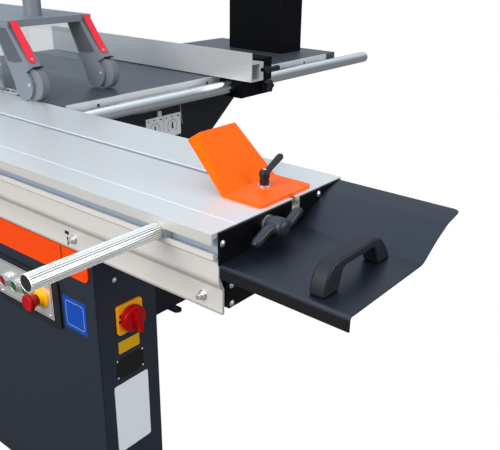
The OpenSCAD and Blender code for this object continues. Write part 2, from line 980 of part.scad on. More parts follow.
module panel_plate() {
    color("silver")
        placed() difference() {
            box(plate_x0, base_x0, panel_y0 + panel_rim_y, panel_y0 + panel_w - panel_rim_y,
                -panel_top - panel_h + panel_rim_low, -panel_top - panel_rim);
            for (y = control_ys)
                rod_x(plate_x0 - over, base_x0 + over, y, button_z, button_r + clear);
        }
}

// Ring on the panel plate that guides a button
module bezel(y, r, t) {
    difference() {
        rod_x(plate_x0 - t, plate_x0, y, button_z, r);
        rod_x(plate_x0 - t - over, plate_x0 + over, y, button_z, button_r + fit);
    }
}

module button_bezels() {
    color("silver") placed() for (y = [start_front_y, start_rear_y, stop_y]) bezel(y, bezel_r, bezel_t);
}

module estop_collar() {
    color("gold") placed() bezel(estop_y, collar_r, collar_t);
}

module estop_button() {
    color("red")
        placed() {
            rod_x(plate_x0 - collar_t - stop_gap, base_x0 + sheet_t, estop_y, button_z, button_r);
            translate([plate_x0 - collar_t - stop_gap, estop_y, button_z]) rotate([0, -90, 0])
                dome(stop_r, stop_head_h);
        }
}

module push_button(y) {
    rod_x(plate_x0 - bezel_t - button_proud, base_x0 + sheet_t, y, button_z, button_r);
}

module start_button_front() {
    color("green") placed() push_button(start_front_y);
}

module start_button_rear() {
    color("green") placed() push_button(start_rear_y);
}

module stop_button() {
    color("darkred") placed() push_button(stop_y);
}

module side_screw(y, z) {
    translate([plate_x0, y, z]) rotate([0, -90, 0]) dome(panel_screw_r, end_screw_h);
}

module machine_screws() {
    y0 = panel_y0 + panel_rim_y + panel_screw_in;
    y1 = panel_y0 + panel_w - panel_rim_y - panel_screw_in;
    z0 = -panel_top - panel_h + panel_rim_low + panel_screw_low;
    z1 = -panel_top - panel_rim - panel_screw_low;
    color("silver")
        placed() {
            for (y = [y0, y1], z = [z0, z1]) side_screw(y, z);
            end_screw(pillar_screw_x, pillar_setback, pillar_screw_z, 90);
            for (z = [-rail_top - rail_screw_in, rail_screw_low - rail_low]) {
                end_screw(rail_x0 + rail_screw_low, -cap_plate_t, z, 90);
                end_screw(rail_x0 + rail_screw_low, carriage_len + cap_plate_t, z, -90);
            }
            for (x = stud_xs)
                rod_y(x, bar_y, table_y0, -bar_drop, bar_stud_r);
        }
}

module switch_plate() {
    color("gold")
        placed() difference() {
            along_y(pillar_setback - switch_t, pillar_setback)
                round_rect(switch_x - switch_w / 2, switch_x + switch_w / 2, switch_z - switch_w / 2,
                    switch_z + switch_w / 2, switch_corner_r);
            rod_y(switch_x, pillar_setback - switch_t - over, pillar_setback + over, switch_z,
                knob_shaft_r + fit);
        }
}

module switch_knob() {
    y1 = pillar_setback - switch_t - clear;
    color("red")
        placed() {
            rod_y(switch_x, y1 - knob_t, y1, switch_z, knob_r);
            rod_y(switch_x, y1 - over, pillar_setback, switch_z, knob_shaft_r);
            along_y(y1 - knob_t - grip_h, y1 - knob_t)
                round_rect(switch_x - grip_w / 2, switch_x + grip_w / 2, switch_z - knob_r,
                    switch_z + knob_r, grip_w / 2 - over);
        }
}

// Handwheel of rim, web and hub on a shaft through the cabinet's front
module handwheel(x) {
    y0 = cabinet_y0 - wheel_gap - wheel_t;
    translate([x, y0, wheel_z]) rotate([-90, 0, 0]) rotate_extrude() {
        translate([wheel_r - wheel_rim / 2, wheel_t / 2]) circle(wheel_rim / 2);
        rect(0, wheel_r - wheel_rim / 2, wheel_t / 2 - wheel_web_t / 2, wheel_t / 2 + wheel_web_t / 2);
        rect(0, wheel_hub_r, 0, wheel_t);
    }
    rod_y(x, y0 + wheel_t - over, cabinet_y0 + sheet_t + wheel_shaft_in, wheel_z, wheel_shaft_r);
}

module tilt_wheel() {
    color("black") placed() handwheel(tilt_wheel_x);
}

module rise_wheel() {
    color("black") placed() handwheel(rise_wheel_x);
}

// Top plate with a rim and ribs below it
module table_casting(x0, x1, y0, y1) {
    columns = max(1, round((x1 - x0) / rib_pitch));
    rows = max(1, round((y1 - y0) / rib_pitch));
    box(x0, x1, y0, y1, -plate_t, 0);
    for (i = [0 : columns])
        translate([x0 + i * (x1 - x0 - rib_t) / columns, y0, -table_t]) cube([rib_t, y1 - y0, table_t]);
    for (i = [0 : rows])
        translate([x0, y0 + i * (y1 - y0 - rib_t) / rows, -table_t]) cube([x1 - x0, rib_t, table_t]);
}

insert_x1 = table_x0 + insert_w;
insert_y0 = mid_len - insert_len / 2;
insert_y1 = mid_len + insert_len / 2;

module main_table() {
    color("slategray")
        placed() difference() {
            table_casting(table_x0, table_x1, table_y0, table_y1);
            box(table_x0 - over, insert_x1, insert_y0, insert_y1, -insert_t, over);
            box(table_x0 - over, insert_x1, insert_y0 + insert_ledge, insert_y1 - insert_ledge,
                -table_t - over, over);
        }
}

module table_insert() {
    color("silver")
        placed() difference() {
            box(table_x0, insert_x1 - clear, insert_y0 + clear, insert_y1 - clear, -insert_t, 0);
            box(blade_x - insert_slot_left, blade_x + insert_slot_right, mid_len - insert_slot_len / 2,
                mid_len + insert_slot_len / 2, -insert_t - over, over);
        }
}

module extension_table() {
    color("slategray")
        placed() table_casting(table_x1, ext_x1, table_y0, ext_y1);
}

module scale_strip() {
    color("silver")
        placed() box(table_x0 + strip_in, ext_x1 - strip_short, table_y0 - strip_w, table_y0, -strip_h, 0);
}

// Fence bar, drilled from behind for the studs that hold it
bar_x0 = table_x0 + bar_in;
stud_step = (ext_x1 - bar_x0 - 2 * bar_stud_in) / (bar_stud_count - 1);
stud_xs = [for (i = [0 : bar_stud_count - 1]) bar_x0 + bar_stud_in + i * stud_step];

module fence_bar() {
    color("silver")
        placed() difference() {
            rod_x(bar_x0, bar_x1, bar_y, -bar_drop, bar_d / 2);
            for (x = stud_xs)
                rod_y(x, bar_y - clear, bar_y + bar_d, -bar_drop, bar_stud_r + fit);
        }
}

carrier_y1 = table_y0 - strip_w - 2 * clear;
body_x0 = face_x + fence_w + clear;
body_y0 = bar_y - carrier_front;

module fence_carrier() {
    cleat_mid = fence_lift + (slot_low + slot_high) / 2;
    color("black")
        placed() {
            difference() {
                union() {
                    box(face_x + carrier_x0, face_x + carrier_x1, bar_y - carrier_half, carrier_y1,
                        -carrier_low, 0);
                    box(body_x0, body_x0 + carrier_body, body_y0, carrier_y1, -over, carrier_top);
                }
                rod_x(face_x, face_x + carrier_x1 + over, bar_y, -bar_drop, bar_d / 2 + fit);
                box(face_x, face_x + carrier_x1 + over, bar_y, carrier_y1 + over,
                    -bar_drop - bar_stud_r - 2 * clear, -bar_drop + bar_stud_r + 2 * clear);
                rod_y(face_x + fence_lever_x + fence_hub_r, body_y0 - over, body_y0 + fence_hub_t,
                    fence_lever_z, fence_rod_r + fit);
                rod_y(face_x + fence_knob_x, bar_y - carrier_half - over,
                    bar_y - carrier_half + fence_knob_neck, fence_knob_z, fence_rod_r + fit);
            }
            box(body_x0 - cleat_neck, body_x0 + over, body_y0, carrier_y1, cleat_mid - cleat_t / 2,
                cleat_mid + cleat_t / 2);
        }
}

module fence_profile() {
    color("gainsboro")
        placed() translate([face_x, 0, fence_lift]) along_y(fence_y0, fence_y0 + fence_len) difference() {
            union() {
                rect(0, fence_wall, 0, fence_h);
                rect(0, fence_w, 0, chamber_h);
            }
            rect(fence_wall, fence_w - slot_in - 2 * fence_wall, fence_wall, chamber_h - fence_wall);
            rect(fence_w - slot_in - fence_wall, fence_w + over, slot_low, slot_high);
        }
}

module fence_lever() {
    x = face_x + fence_lever_x + fence_hub_r;
    y1 = body_y0 - clear;
    y = y1 - fence_hub_t / 2;
    color("black")
        placed() {
            rod_y(x, y1 - fence_hub_t, y1, fence_lever_z, fence_hub_r);
            rod_y(x, y1 - over, body_y0 + fence_hub_t - clear, fence_lever_z, fence_rod_r);
            rod_x(x, x + fence_lever_len / 2, y, fence_lever_z, fence_rod_r);
            rod_x(x + fence_lever_len / 2 - over, x + fence_lever_len, y, fence_lever_z, fence_grip_r);
        }
}

module fence_knob() {
    x = face_x + fence_knob_x;
    y1 = bar_y - carrier_half - clear;
    color("black")
        placed() translate([x, y1, fence_knob_z]) rotate([90, 0, 0]) {
            cylinder(h = fence_knob_neck, r = fence_knob_r / 2);
            translate([0, 0, fence_knob_neck - over]) cylinder(h = fence_knob_t, r = fence_knob_r);
            translate([0, 0, 2 * clear - fence_knob_neck]) cylinder(h = fence_knob_neck, r = fence_rod_r);
        }
}

// Post on the extension table, boom and the collar that guides the hood's stem
post_x0 = ext_x1 - post_in - post_w;
post_y0 = table_y0 + post_in_y;
stem_x = arm_x0 + (arm_gap + arm_w) / 2;
stem_y = post_y0 + post_d / 2;

module guard_boom() {
    color("black")
        placed() difference() {
            union() {
                box(post_x0, post_x0 + post_w, post_y0, post_y0 + post_d, 0, post_h);
                box(stem_x, post_x0 + boom_wall, stem_y - boom_w / 2, stem_y + boom_w / 2, boom_z,
                    boom_z + boom_h);
                rod_z(stem_x, stem_y, boom_z - collar_wall, boom_z + boom_h + collar_wall,
                    stem_r + collar_wall);
            }
            box(post_x0 + boom_wall, post_x0 + post_w - boom_wall, post_y0 + boom_wall,
                post_y0 + post_d - boom_wall, -over, post_h - boom_wall);
            box(stem_x + stem_r + collar_wall, post_x0 + boom_wall + over, stem_y - boom_w / 2 + boom_wall,
                stem_y + boom_w / 2 - boom_wall, boom_z + boom_wall, boom_z + boom_h - boom_wall);
            rod_z(stem_x, stem_y, boom_z - collar_wall - over, boom_z + boom_h + collar_wall + over,
                stem_r + fit);
        }
}

// Arm of the guard hood: a round cheek beside its roller and a bar that leans back to the hood
axle_y = table_y0 + axle_in;
lobe_y = table_y0 + lobe_in;
hood_y0 = table_y0 + hood_in;
hood_y1 = hood_y0 + hood_len;
arm_xs = [arm_x0, arm_x0 + arm_gap];
roller_z = roller_r + roller_gap;

module arm_bar() {
    polygon([[axle_y - arm_front, 2 * roller_z], [lobe_y + lobe_r, lobe_z],
        [hood_y0 + arm_rear, hood_z], [hood_y0, hood_z + hood_t], [hood_y0, hood_z]]);
}

module hood_frame() {
    color("slategray")
        placed() {
            for (x = arm_xs) {
                difference() {
                    along_x(x, x + arm_w) arm_bar();
                    rod_x(x + cheek_t, x + arm_w + over, axle_y, roller_z, roller_r + roller_gap);
                }
                along_x(x, x + cheek_t) translate([lobe_y, lobe_z]) circle(lobe_r);
                rod_x(x + over, x + arm_w, axle_y, roller_z, axle_r);
            }
            difference() {
                union() {
                    box(arm_x0, arm_x0 + arm_gap + arm_w, hood_y0, hood_y1, hood_z, hood_z + hood_t);
                    rod_z(stem_x, stem_y, hood_z + hood_t - over, boom_z + boom_h + stem_top, stem_r);
                }
                rod_z(stem_x, stem_y, hood_z - over, boom_z + boom_h + stem_top + over, stem_r - stem_wall);
            }
        }
}

module hood_windows() {
    x0 = arm_x0 + cheek_t;
    x1 = arm_x0 + arm_gap + arm_w - window_t;
    y0 = hood_y0 + arm_rear;
    color("lightcyan", 0.4)
        placed() {
            for (x = [x0, x1]) box(x, x + window_t, y0, hood_y1, window_low, hood_z);
            box(x0 + window_t, x1, hood_y1 - window_t, hood_y1, window_low, hood_z);
        }
}

module hood_roller(x) {
    difference() {
        rod_x(x + cheek_t + clear, x + arm_w, axle_y, roller_z, roller_r);
        rod_x(x, x + arm_w + over, axle_y, roller_z, axle_r + fit);
    }
}

module hood_roller_left() {
    color("gray") placed() hood_roller(arm_x0);
}

module hood_roller_right() {
    color("gray") placed() hood_roller(arm_x0 + arm_gap);
}

// Saw unit, tilting about the line where the blade meets the table's top
arbor_z = -arbor_depth;
end_ys = [mid_len - end_y, mid_len + end_y - end_plate_t];
motor_z = arbor_z - pulley_gap;

module tilt_disc(r) {
    translate([blade_x, 0]) circle(r, $fn = 128);
}

module trunnions() {
    color("dimgray")
        placed() for (y = end_ys)
            along_y(y, y + end_plate_t) intersection() {
                rect(blade_x + seat_x0, blade_x + seat_x1, -trunnion_r, -table_t);
                tilt_disc(trunnion_r);
            }
}

module tilt_frame() {
    color("slategray")
        placed() {
            for (y = end_ys)
                along_y(y, y + end_plate_t) difference() {
                    rect(blade_x + tilt_x0, blade_x + tilt_x1, -tilt_low, -tilt_high);
                    tilt_disc(trunnion_r + clear);
                }
            for (z = [-beam_top - beam_t, -beam_low])
                box(blade_x + guide_dx - beam_half, blade_x + guide_dx + beam_half,
                    end_ys[0] + end_plate_t - over, end_ys[1] + over, z, z + beam_t);
            for (y = [mid_len - guide_y, mid_len + guide_y])
                rod_z(blade_x + guide_dx, y, -beam_low + over, -beam_top - over, post_r);
        }
}

module lift_slide() {
    foot_y = mid_len + knife_foot_y;
    color("gray")
        placed() difference() {
            union() {
                rod_x(blade_x + housing_x0, blade_x + web_dx + web_w, mid_len, arbor_z, housing_r);
                box(blade_x + web_dx, blade_x + web_dx + web_w, mid_len - web_half, mid_len + web_half,
                    -block_top - block_t, arbor_z);
                box(blade_x + web_dx, blade_x + block_dx1, mid_len - block_half, mid_len + block_half,
                    -block_top - block_t, -block_top);
                box(blade_x + knife_t / 2, blade_x + web_dx + web_w, foot_y, foot_y + knife_foot_w,
                    -block_top - block_t, -knife_foot_top);
                box(blade_x + web_dx, blade_x + block_dx1, mid_len - shelf_half, mid_len + shelf_half,
                    motor_z - motor_r - shelf_t, -block_top);
                box(blade_x + web_dx, blade_x + motor_dx + motor_len, mid_len - shelf_half,
                    mid_len + shelf_half, motor_z - motor_r - shelf_t, motor_z - motor_r);
            }
            rod_x(blade_x, blade_x + arbor_right, mid_len, arbor_z, arbor_r + fit);
            for (y = [mid_len - guide_y, mid_len + guide_y])
                rod_z(blade_x + guide_dx, y, -block_top - block_t - over, over - block_top, post_r + fit);
        }
}

module arbor() {
    color("silver")
        placed() {
            rod_x(blade_x - blade_t / 2 - 2 * flange_t, blade_x + arbor_right, mid_len, arbor_z, arbor_r);
            rod_x(blade_x - blade_t / 2 - flange_t, blade_x - blade_t / 2, mid_len, arbor_z, flange_r);
            rod_x(blade_x + blade_t / 2, blade_x + blade_t / 2 + flange_t, mid_len, arbor_z, flange_r);
            rod_x(blade_x + pulley_x, blade_x + pulley_x + pulley_w, mid_len, arbor_z, arbor_pulley_r);
        }
}

module saw_blade() {
    color("silver")
        placed() difference() {
            rod_x(blade_x - blade_t / 2, blade_x + blade_t / 2, mid_len, arbor_z, blade_r);
            rod_x(blade_x - blade_t, blade_x + blade_t, mid_len, arbor_z, arbor_r + fit);
        }
}

module riving_knife() {
    reach = 2 * knife_out;
    color("silver")
        placed() along_x(blade_x - knife_t / 2, blade_x + knife_t / 2) difference() {
            union() {
                translate([mid_len, arbor_z]) intersection() {
                    circle(knife_out);
                    polygon([[0, 0], [reach * cos(knife_low), reach * sin(knife_low)], [reach, 0],
                        [reach * cos(knife_high), reach * sin(knife_high)]]);
                }
                rect(mid_len + knife_foot_y, mid_len + knife_foot_y + knife_foot_w,
                    -block_top - block_t, -knife_foot_top + knife_foot_w);
            }
            translate([mid_len, arbor_z]) circle(knife_in);
        }
}

module motor() {
    color("dimgray")
        placed() difference() {
            rod_x(blade_x + motor_dx, blade_x + motor_dx + motor_len, mid_len, motor_z, motor_r);
            rod_x(blade_x + motor_dx - over, blade_x + motor_dx + motor_len / 2 + clear, mid_len, motor_z,
                motor_shaft_r + fit);
        }
}

module motor_pulley() {
    color("silver")
        placed() {
            rod_x(blade_x + pulley_x, blade_x + motor_dx + motor_len / 2, mid_len, motor_z, motor_shaft_r);
            rod_x(blade_x + pulley_x, blade_x + pulley_x + pulley_w, mid_len, motor_z, motor_pulley_r);
        }
}

// Loop round both pulleys, grown outward by more
module belt_loop(more) {
    hull() {
        translate([mid_len, arbor_z]) circle(arbor_pulley_r + more);
        translate([mid_len, motor_z]) circle(motor_pulley_r + more);
    }
}

module belt() {
    x = blade_x + pulley_x + (pulley_w - belt_w) / 2;
    color("black")
        placed() along_x(x, x + belt_w) difference() {
            belt_loop(clear + belt_t);
            belt_loop(clear);
        }
}

carriage();
carriage_tracks();
end_plates();
end_plate_hardware();
skirt_bolts();
tray();
tray_handle();
lock_handle();
shoe_plate();
shoe_stud();
clamp_lever();
handle_stud();
handle_grip();
handle_cap();
roller_cage();
slide_rail();
rail_tracks();
rail_caps();
side_panel();
pillar_panels();
cabinet_panels();
trim_strip();
floor_lugs();
dust_port();
panel_frame();
panel_plate();
button_bezels();
machine_screws();
estop_collar();
estop_button();
start_button_front();
start_button_rear();
stop_button();
switch_plate();
switch_knob();
main_table();
table_insert();
extension_table();
scale_strip();
fence_bar();
fence_carrier();
fence_profile();
fence_lever();
fence_knob();
guard_boom();
hood_frame();
hood_windows();
hood_roller_left();
hood_roller_right();
trunnions();
tilt_frame();
lift_slide();
arbor();
saw_blade();
riving_knife();
motor();
motor_pulley();
belt();
tilt_wheel();
rise_wheel();
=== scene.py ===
import json
import math

import bmesh
import bpy
from mathutils import Matrix, Vector


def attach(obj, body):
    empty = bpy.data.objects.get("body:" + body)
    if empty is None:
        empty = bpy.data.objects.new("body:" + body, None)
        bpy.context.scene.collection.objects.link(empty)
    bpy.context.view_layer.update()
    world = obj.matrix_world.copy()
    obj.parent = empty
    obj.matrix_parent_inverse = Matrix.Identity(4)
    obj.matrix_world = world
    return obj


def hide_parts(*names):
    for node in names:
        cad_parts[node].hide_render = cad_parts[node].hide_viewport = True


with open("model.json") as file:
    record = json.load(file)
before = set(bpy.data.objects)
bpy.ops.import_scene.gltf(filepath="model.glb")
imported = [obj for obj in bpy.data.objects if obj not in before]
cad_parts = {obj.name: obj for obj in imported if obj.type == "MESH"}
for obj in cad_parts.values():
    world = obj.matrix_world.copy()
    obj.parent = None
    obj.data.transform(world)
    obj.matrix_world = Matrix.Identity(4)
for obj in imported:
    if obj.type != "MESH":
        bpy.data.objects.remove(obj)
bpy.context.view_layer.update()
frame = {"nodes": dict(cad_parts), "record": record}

# Working places below are in millimetres from the carriage's front left top corner:
# x to the right, y along the cut, z up. The part's own origin lies here in that frame.
ORIGIN = Vector((779.0, 1183.25, -850.0))
MM = 0.001


def place(x, y, z):
    return (Vector((x, y, z)) - ORIGIN) * MM


# Materials


def add_node(tree, kind, **values):
    made = tree.nodes.new(kind)
    for key, value in values.items():
        setattr(made, key, value)
    return made


GRAIN_DETAIL, GRAIN_LOW, GRAIN_HIGH = 4.0, 0.3, 0.7
BUMP_DEEP, EDGE_SAMPLES, LEAST_ROUGH = 0.0004, 4, 0.02
CLEAR_IOR, CLEAR_ALPHA = 1.15, 0.3


def surface(
    name,
    color,
    rough=0.4,
    metal=0.0,
    grain=(900, 900, 900),
    tint=0.08,
    spread=0.06,
    bump=0.04,
    specular=0.5,
    edge=0.0006,
    gleam=(1, 1, 1),
):
    """A shader with fine grain in colour, gloss and height, and softly rounded edges."""
    mat = bpy.data.materials.new(name)
    mat.use_nodes = True
    tree = mat.node_tree
    shader = tree.nodes["Principled BSDF"]
    shader.inputs["Metallic"].default_value = metal
    shader.inputs["Specular IOR Level"].default_value = specular
    shader.inputs["Specular Tint"].default_value = (*gleam, 1)
    coords = add_node(tree, "ShaderNodeTexCoord")
    mapping = add_node(tree, "ShaderNodeMapping")
    mapping.inputs["Scale"].default_value = grain
    tree.links.new(coords.outputs["Object"], mapping.inputs["Vector"])
    noise = add_node(tree, "ShaderNodeTexNoise")
    noise.inputs["Scale"].default_value = 1.0
    noise.inputs["Detail"].default_value = GRAIN_DETAIL
    tree.links.new(mapping.outputs["Vector"], noise.inputs["Vector"])
    ramp = add_node(tree, "ShaderNodeValToRGB")
    ramp.color_ramp.elements[0].position = GRAIN_LOW
    ramp.color_ramp.elements[1].position = GRAIN_HIGH
    ramp.color_ramp.elements[0].color = [c * (1 - tint) for c in color] + [1]
    ramp.color_ramp.elements[1].color = [min(1, c * (1 + tint)) for c in color] + [1]
    tree.links.new(noise.outputs["Fac"], ramp.inputs["Fac"])
    tree.links.new(ramp.outputs["Color"], shader.inputs["Base Color"])
    gloss = add_node(tree, "ShaderNodeMapRange")
    gloss.inputs["To Min"].default_value = max(LEAST_ROUGH, rough - spread)
    gloss.inputs["To Max"].default_value = min(1, rough + spread)
    tree.links.new(noise.outputs["Fac"], gloss.inputs["Value"])
    tree.links.new(gloss.outputs["Result"], shader.inputs["Roughness"])
    height = add_node(tree, "ShaderNodeBump")
    height.inputs["Strength"].default_value = bump
    height.inputs["Distance"].default_value = BUMP_DEEP
    tree.links.new(noise.outputs["Fac"], height.inputs["Height"])
    if edge:
        soft = add_node(tree, "ShaderNodeBevel", samples=EDGE_SAMPLES)
        soft.inputs["Radius"].default_value = edge
        tree.links.new(soft.outputs["Normal"], height.inputs["Normal"])
    tree.links.new(height.outputs["Normal"], shader.inputs["Normal"])
    return mat


def clear_sheet(name):
    mat = surface(name, (0.86, 0.9, 0.93), rough=0.08, tint=0.02, spread=0.03, bump=0.01, edge=0)
    shader = mat.node_tree.nodes["Principled BSDF"]
    shader.inputs["Transmission Weight"].default_value = 1.0
    shader.inputs["IOR"].default_value = CLEAR_IOR
    shader.inputs["Alpha"].default_value = CLEAR_ALPHA
    return mat


BRUSHED_Y = (1600, 9, 1600)
BRUSHED_X = (9, 1600, 1600)
FINE = (1500, 1500, 1500)
COARSE = (350, 350, 350)

# Blue tint on the reflections of dark paints and plastics: a painted blue reflection of the surroundings
PAINTED_BLUE_REFLECTION = (0.76, 0.83, 1.0)

# Each look: colour, roughness, metal share, grain, tint, spread and bump of the grain, and where they
# differ from the usual ones specular level, edge radius and the gleam's colour
SLOT_LOOKS = {
    "aluminium_profile": ((0.735, 0.745, 0.745), 0.36, 0.55, BRUSHED_Y, 0.05, 0.08, 0.04, 0.3),
    "bright_aluminium": ((0.88, 0.88, 0.86), 0.26, 0.75, BRUSHED_X, 0.04, 0.06, 0.02, 0.3, 0.0),
    "zinc_steel": ((0.66, 0.67, 0.67), 0.3, 0.85, COARSE, 0.06, 0.06, 0.02),
    "track_steel": ((0.42, 0.43, 0.45), 0.35, 0.9, BRUSHED_Y, 0.08, 0.08),
    "bar_steel": ((0.95, 0.955, 0.96), 0.17, 1.0, BRUSHED_X, 0.03, 0.04, 0.01),
    "blade_steel": ((0.55, 0.56, 0.57), 0.3, 0.9, COARSE, 0.07, 0.08),
    "body_paint": ((0.0165, 0.0205, 0.0315), 0.5, 0.0, FINE, 0.12, 0.06, 0.1, 0.32, 0.005, PAINTED_BLUE_REFLECTION),
    "black_paint": ((0.0025, 0.0025, 0.0035), 0.42, 0, FINE, 0.1, 0.06, 0.05, 0.1),
    "tray_paint": ((0.004, 0.0055, 0.012), 0.4, 0.0, FINE, 0.12, 0.06, 0.06, 0.58, 0.001, PAINTED_BLUE_REFLECTION),
    "orange_paint": ((0.83, 0.058, 0.0), 0.36, 0, FINE, 0.03, 0.05, 0.03, 0.3, 0.0012, (1, 0.3, 0.0)),
    "table_iron": ((0.09, 0.101, 0.123), 0.45, 0.56, BRUSHED_Y, 0.14, 0.1, 0.06),
    "black_plastic": ((0.007, 0.007, 0.008), 0.5, 0.0, FINE, 0.15, 0.06, 0.1, 0.45, 0.0006, PAINTED_BLUE_REFLECTION),
    "yellow_plastic": ((1.0, 0.36, 0.0), 0.38, 0, FINE, 0.04, 0.06, 0.04, 0.3),
    "red_plastic": ((0.4, 0.001, 0.003), 0.34, 0.0, FINE, 0.05, 0.06, 0.04, 0.35, 0.0006, (1, 0.3, 0.3)),
    "red_lens": ((0.24, 0.0, 0.003), 0.2, 0.0, FINE, 0.06, 0.04, 0.02, 0.4),
    "green_lens": ((0.0, 0.1, 0.02), 0.2, 0.0, FINE, 0.06, 0.04, 0.02, 0.4),
    "guard_grey": ((0.18, 0.2, 0.24), 0.42, 0.0, FINE, 0.08, 0.06, 0.06),
    "roller_grey": ((0.17, 0.185, 0.215), 0.5, 0.0, FINE, 0.1, 0.06, 0.06),
    "motor_paint": ((0.07, 0.085, 0.11), 0.42, 0.0, FINE, 0.1, 0.06, 0.06),
    "belt_rubber": ((0.012, 0.012, 0.012), 0.7, 0.0, COARSE, 0.15, 0.08, 0.1),
}
EXTRA_LOOKS = {
    "blue_plate": ((0.004, 0.06, 0.38), 0.4, 0, FINE, 0.04, 0.05, 0.02, 0.15),
    "pale_line": ((0.4, 0.42, 0.4), 0.4, 0.0, FINE, 0.04, 0.05, 0.02),
    # A brighter copy of the orange paint for the clamp shoe, which faces away from the key light: painted
    # light
    "shoe_orange_painted_light": ((1.0, 0.115, 0.0), 0.36, 0, FINE, 0.03, 0.05, 0.03, 0.45, 0.0012, (1, 0.4, 0.05)),
    "tube_satin": ((1.0, 0.99, 0.96), 0.3, 0.6, BRUSHED_X, 0.03, 0.06, 0.02, 0.4, 0.0),
    "skirt_satin": ((0.775, 0.74, 0.7), 0.4, 0.3, BRUSHED_Y, 0.04, 0.06, 0.03, 0.3, 0.0),
    "lock_plastic": ((0.017, 0.018, 0.024), 0.42, 0.0, FINE, 0.12, 0.06, 0.08, 0.6, 0.0006, PAINTED_BLUE_REFLECTION),
    # The upper lip's face in a tone of its own, set for how the key light falls on it: painted light
    "lip_painted_light": ((0.62, 0.61, 0.58), 0.4, 0.3, BRUSHED_Y, 0.04, 0.06, 0.03, 0.3, 0.0),
    "fold_painted_shade": ((0.5, 0.47, 0.44), 0.45, 0.2, BRUSHED_Y, 0.04, 0.06, 0.03, 0.3),
    "collar_yellow": ((1.0, 0.46, 0.0), 0.38, 0, FINE, 0.04, 0.06, 0.04, 0.3),
    "skirt_shade": ((0.43, 0.4, 0.375), 0.5, 0.1, BRUSHED_Y, 0.04, 0.06, 0.03, 0.3),
    "yellow_label": ((0.68, 0.36, 0.0), 0.4, 0, FINE, 0.04, 0.05, 0.02, 0.3),
    "white_label": ((0.8, 0.82, 0.84), 0.4, 0, FINE, 0.03, 0.05, 0.02, 0.3),
    # Pale lines on the lit walls of the top groove and slot: painted highlight
    "painted_highlight_line": ((0.76, 0.81, 0.86), 0.4, 0, BRUSHED_Y, 0.03, 0.05, 0.02),
    "cabinet_painted_shade": ((0.0105, 0.0115, 0.0145), 0.5, 0.0, FINE, 0.12, 0.06, 0.1, 0.28, 0.005),
    "ivory": ((0.7, 0.66, 0.55), 0.45, 0.0, FINE, 0.05, 0.05, 0.04),
    "strip_red": ((0.88, 0.022, 0.045), 0.38, 0, FINE, 0.05, 0.05, 0.03, 0.3),
    # Bluish grey on the slots' inner walls: painted shade with a painted blue reflection
    "slot_painted_shade": ((0.44, 0.51, 0.6), 0.35, 0.4, BRUSHED_Y, 0.05, 0.06, 0.03),
    "groove_painted_shade": ((0.2, 0.2, 0.19), 0.4, 0.5, BRUSHED_X, 0.05, 0.06, 0.03),
    "recess_painted_shade": ((0.075, 0.085, 0.1), 0.5, 0.0, FINE, 0.1, 0.06, 0.06),
    # Near black for print, marks and small dark parts, and as painted shade on the tray's flange and in
    # openings
    "near_black_and_painted_shade": ((0.006, 0.006, 0.006), 0.5, 0, FINE, 0.1, 0.05, 0.02, 0.25),
    "brown_cap": ((0.014, 0.012, 0.009), 0.55, 0, FINE, 0.15, 0.05, 0.06, 0.3),
    "brass": ((0.62, 0.4, 0.13), 0.3, 0.9, COARSE, 0.08, 0.06, 0.03),
}
# One slot's look has a name of its own
LOOK_NAMES = {"aluminium_profile": "satin_aluminium"}
SLOTS = {slot: surface(LOOK_NAMES.get(slot, slot), *values) for slot, values in SLOT_LOOKS.items()}
SLOTS["clear_panel"] = clear_sheet("clear_panel")
EXTRA = {look: surface(look, *values) for look, values in EXTRA_LOOKS.items()}

# Pieces that stand in the tables' shade get a darker copy of their paint: painted shade
NODE_LOOKS = {"cabinet_panels": "cabinet_painted_shade"}

for part in frame["record"]["subparts"]:
    made = frame["nodes"][part["node"]]
    look = NODE_LOOKS.get(part["node"])
    made.data.materials.clear()
    made.data.materials.append(EXTRA[look] if look else SLOTS[part["material_slot"]])


# Shape helpers


WELD, BEVEL_FROM = 1e-6, math.radians(32)


def piece(name, verts, faces, body, slot, look=None, smooth=35, round_by=0.0, segments=3, replaces=()):
    """A mesh from millimetre points, finished and hung on its body."""
    mesh = bpy.data.meshes.new(name)
    mesh.from_pydata([place(*v) for v in verts], [], faces)
    work = bmesh.new()
    work.from_mesh(mesh)
    bmesh.ops.remove_doubles(work, verts=work.verts, dist=WELD)
    bmesh.ops.recalc_face_normals(work, faces=work.faces)
    work.to_mesh(mesh)
    work.free()
    mesh.shade_smooth()
    mesh.set_sharp_from_angle(angle=math.radians(smooth))
    obj = bpy.data.objects.new(name, mesh)
    bpy.context.scene.collection.objects.link(obj)
    mesh.materials.append(EXTRA[look] if look else SLOTS[slot])
    if round_by:
        bevel = obj.modifiers.new("round", "BEVEL")
        bevel.width = round_by * MM
        bevel.segments = segments
        bevel.limit_method = "ANGLE"
        bevel.angle_limit = BEVEL_FROM
        bevel.harden_normals = True
    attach(obj, body)
    if replaces:
        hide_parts(*replaces)
    return obj


AXES = {
    "x": lambda u, v, w: (w, u, v),
    "y": lambda u, v, w: (u, w, v),
    "z": lambda u, v, w: (u, v, w),
}


def slab_data(points_low, points_high):
    """Points and faces between two outlines of the same count."""
    n = len(points_low)
    faces = [tuple(range(n)), tuple(range(2 * n - 1, n - 1, -1))]
    for i in range(n):
        j = (i + 1) % n
        faces.append((i, j, n + j, n + i))
    return list(points_low) + list(points_high), faces


def prism_data(outline, axis, w0, w1):
    """An outline pushed along an axis. Outlines are (y, z), (x, z) or (x, y)."""
    turn = AXES[axis]
    return slab_data([turn(u, v, w0) for u, v in outline], [turn(u, v, w1) for u, v in outline])


def prism(name, outline, axis, w0, w1, body, slot, **more):
    verts, faces = prism_data(outline, axis, w0, w1)
    return piece(name, verts, faces, body, slot, **more)


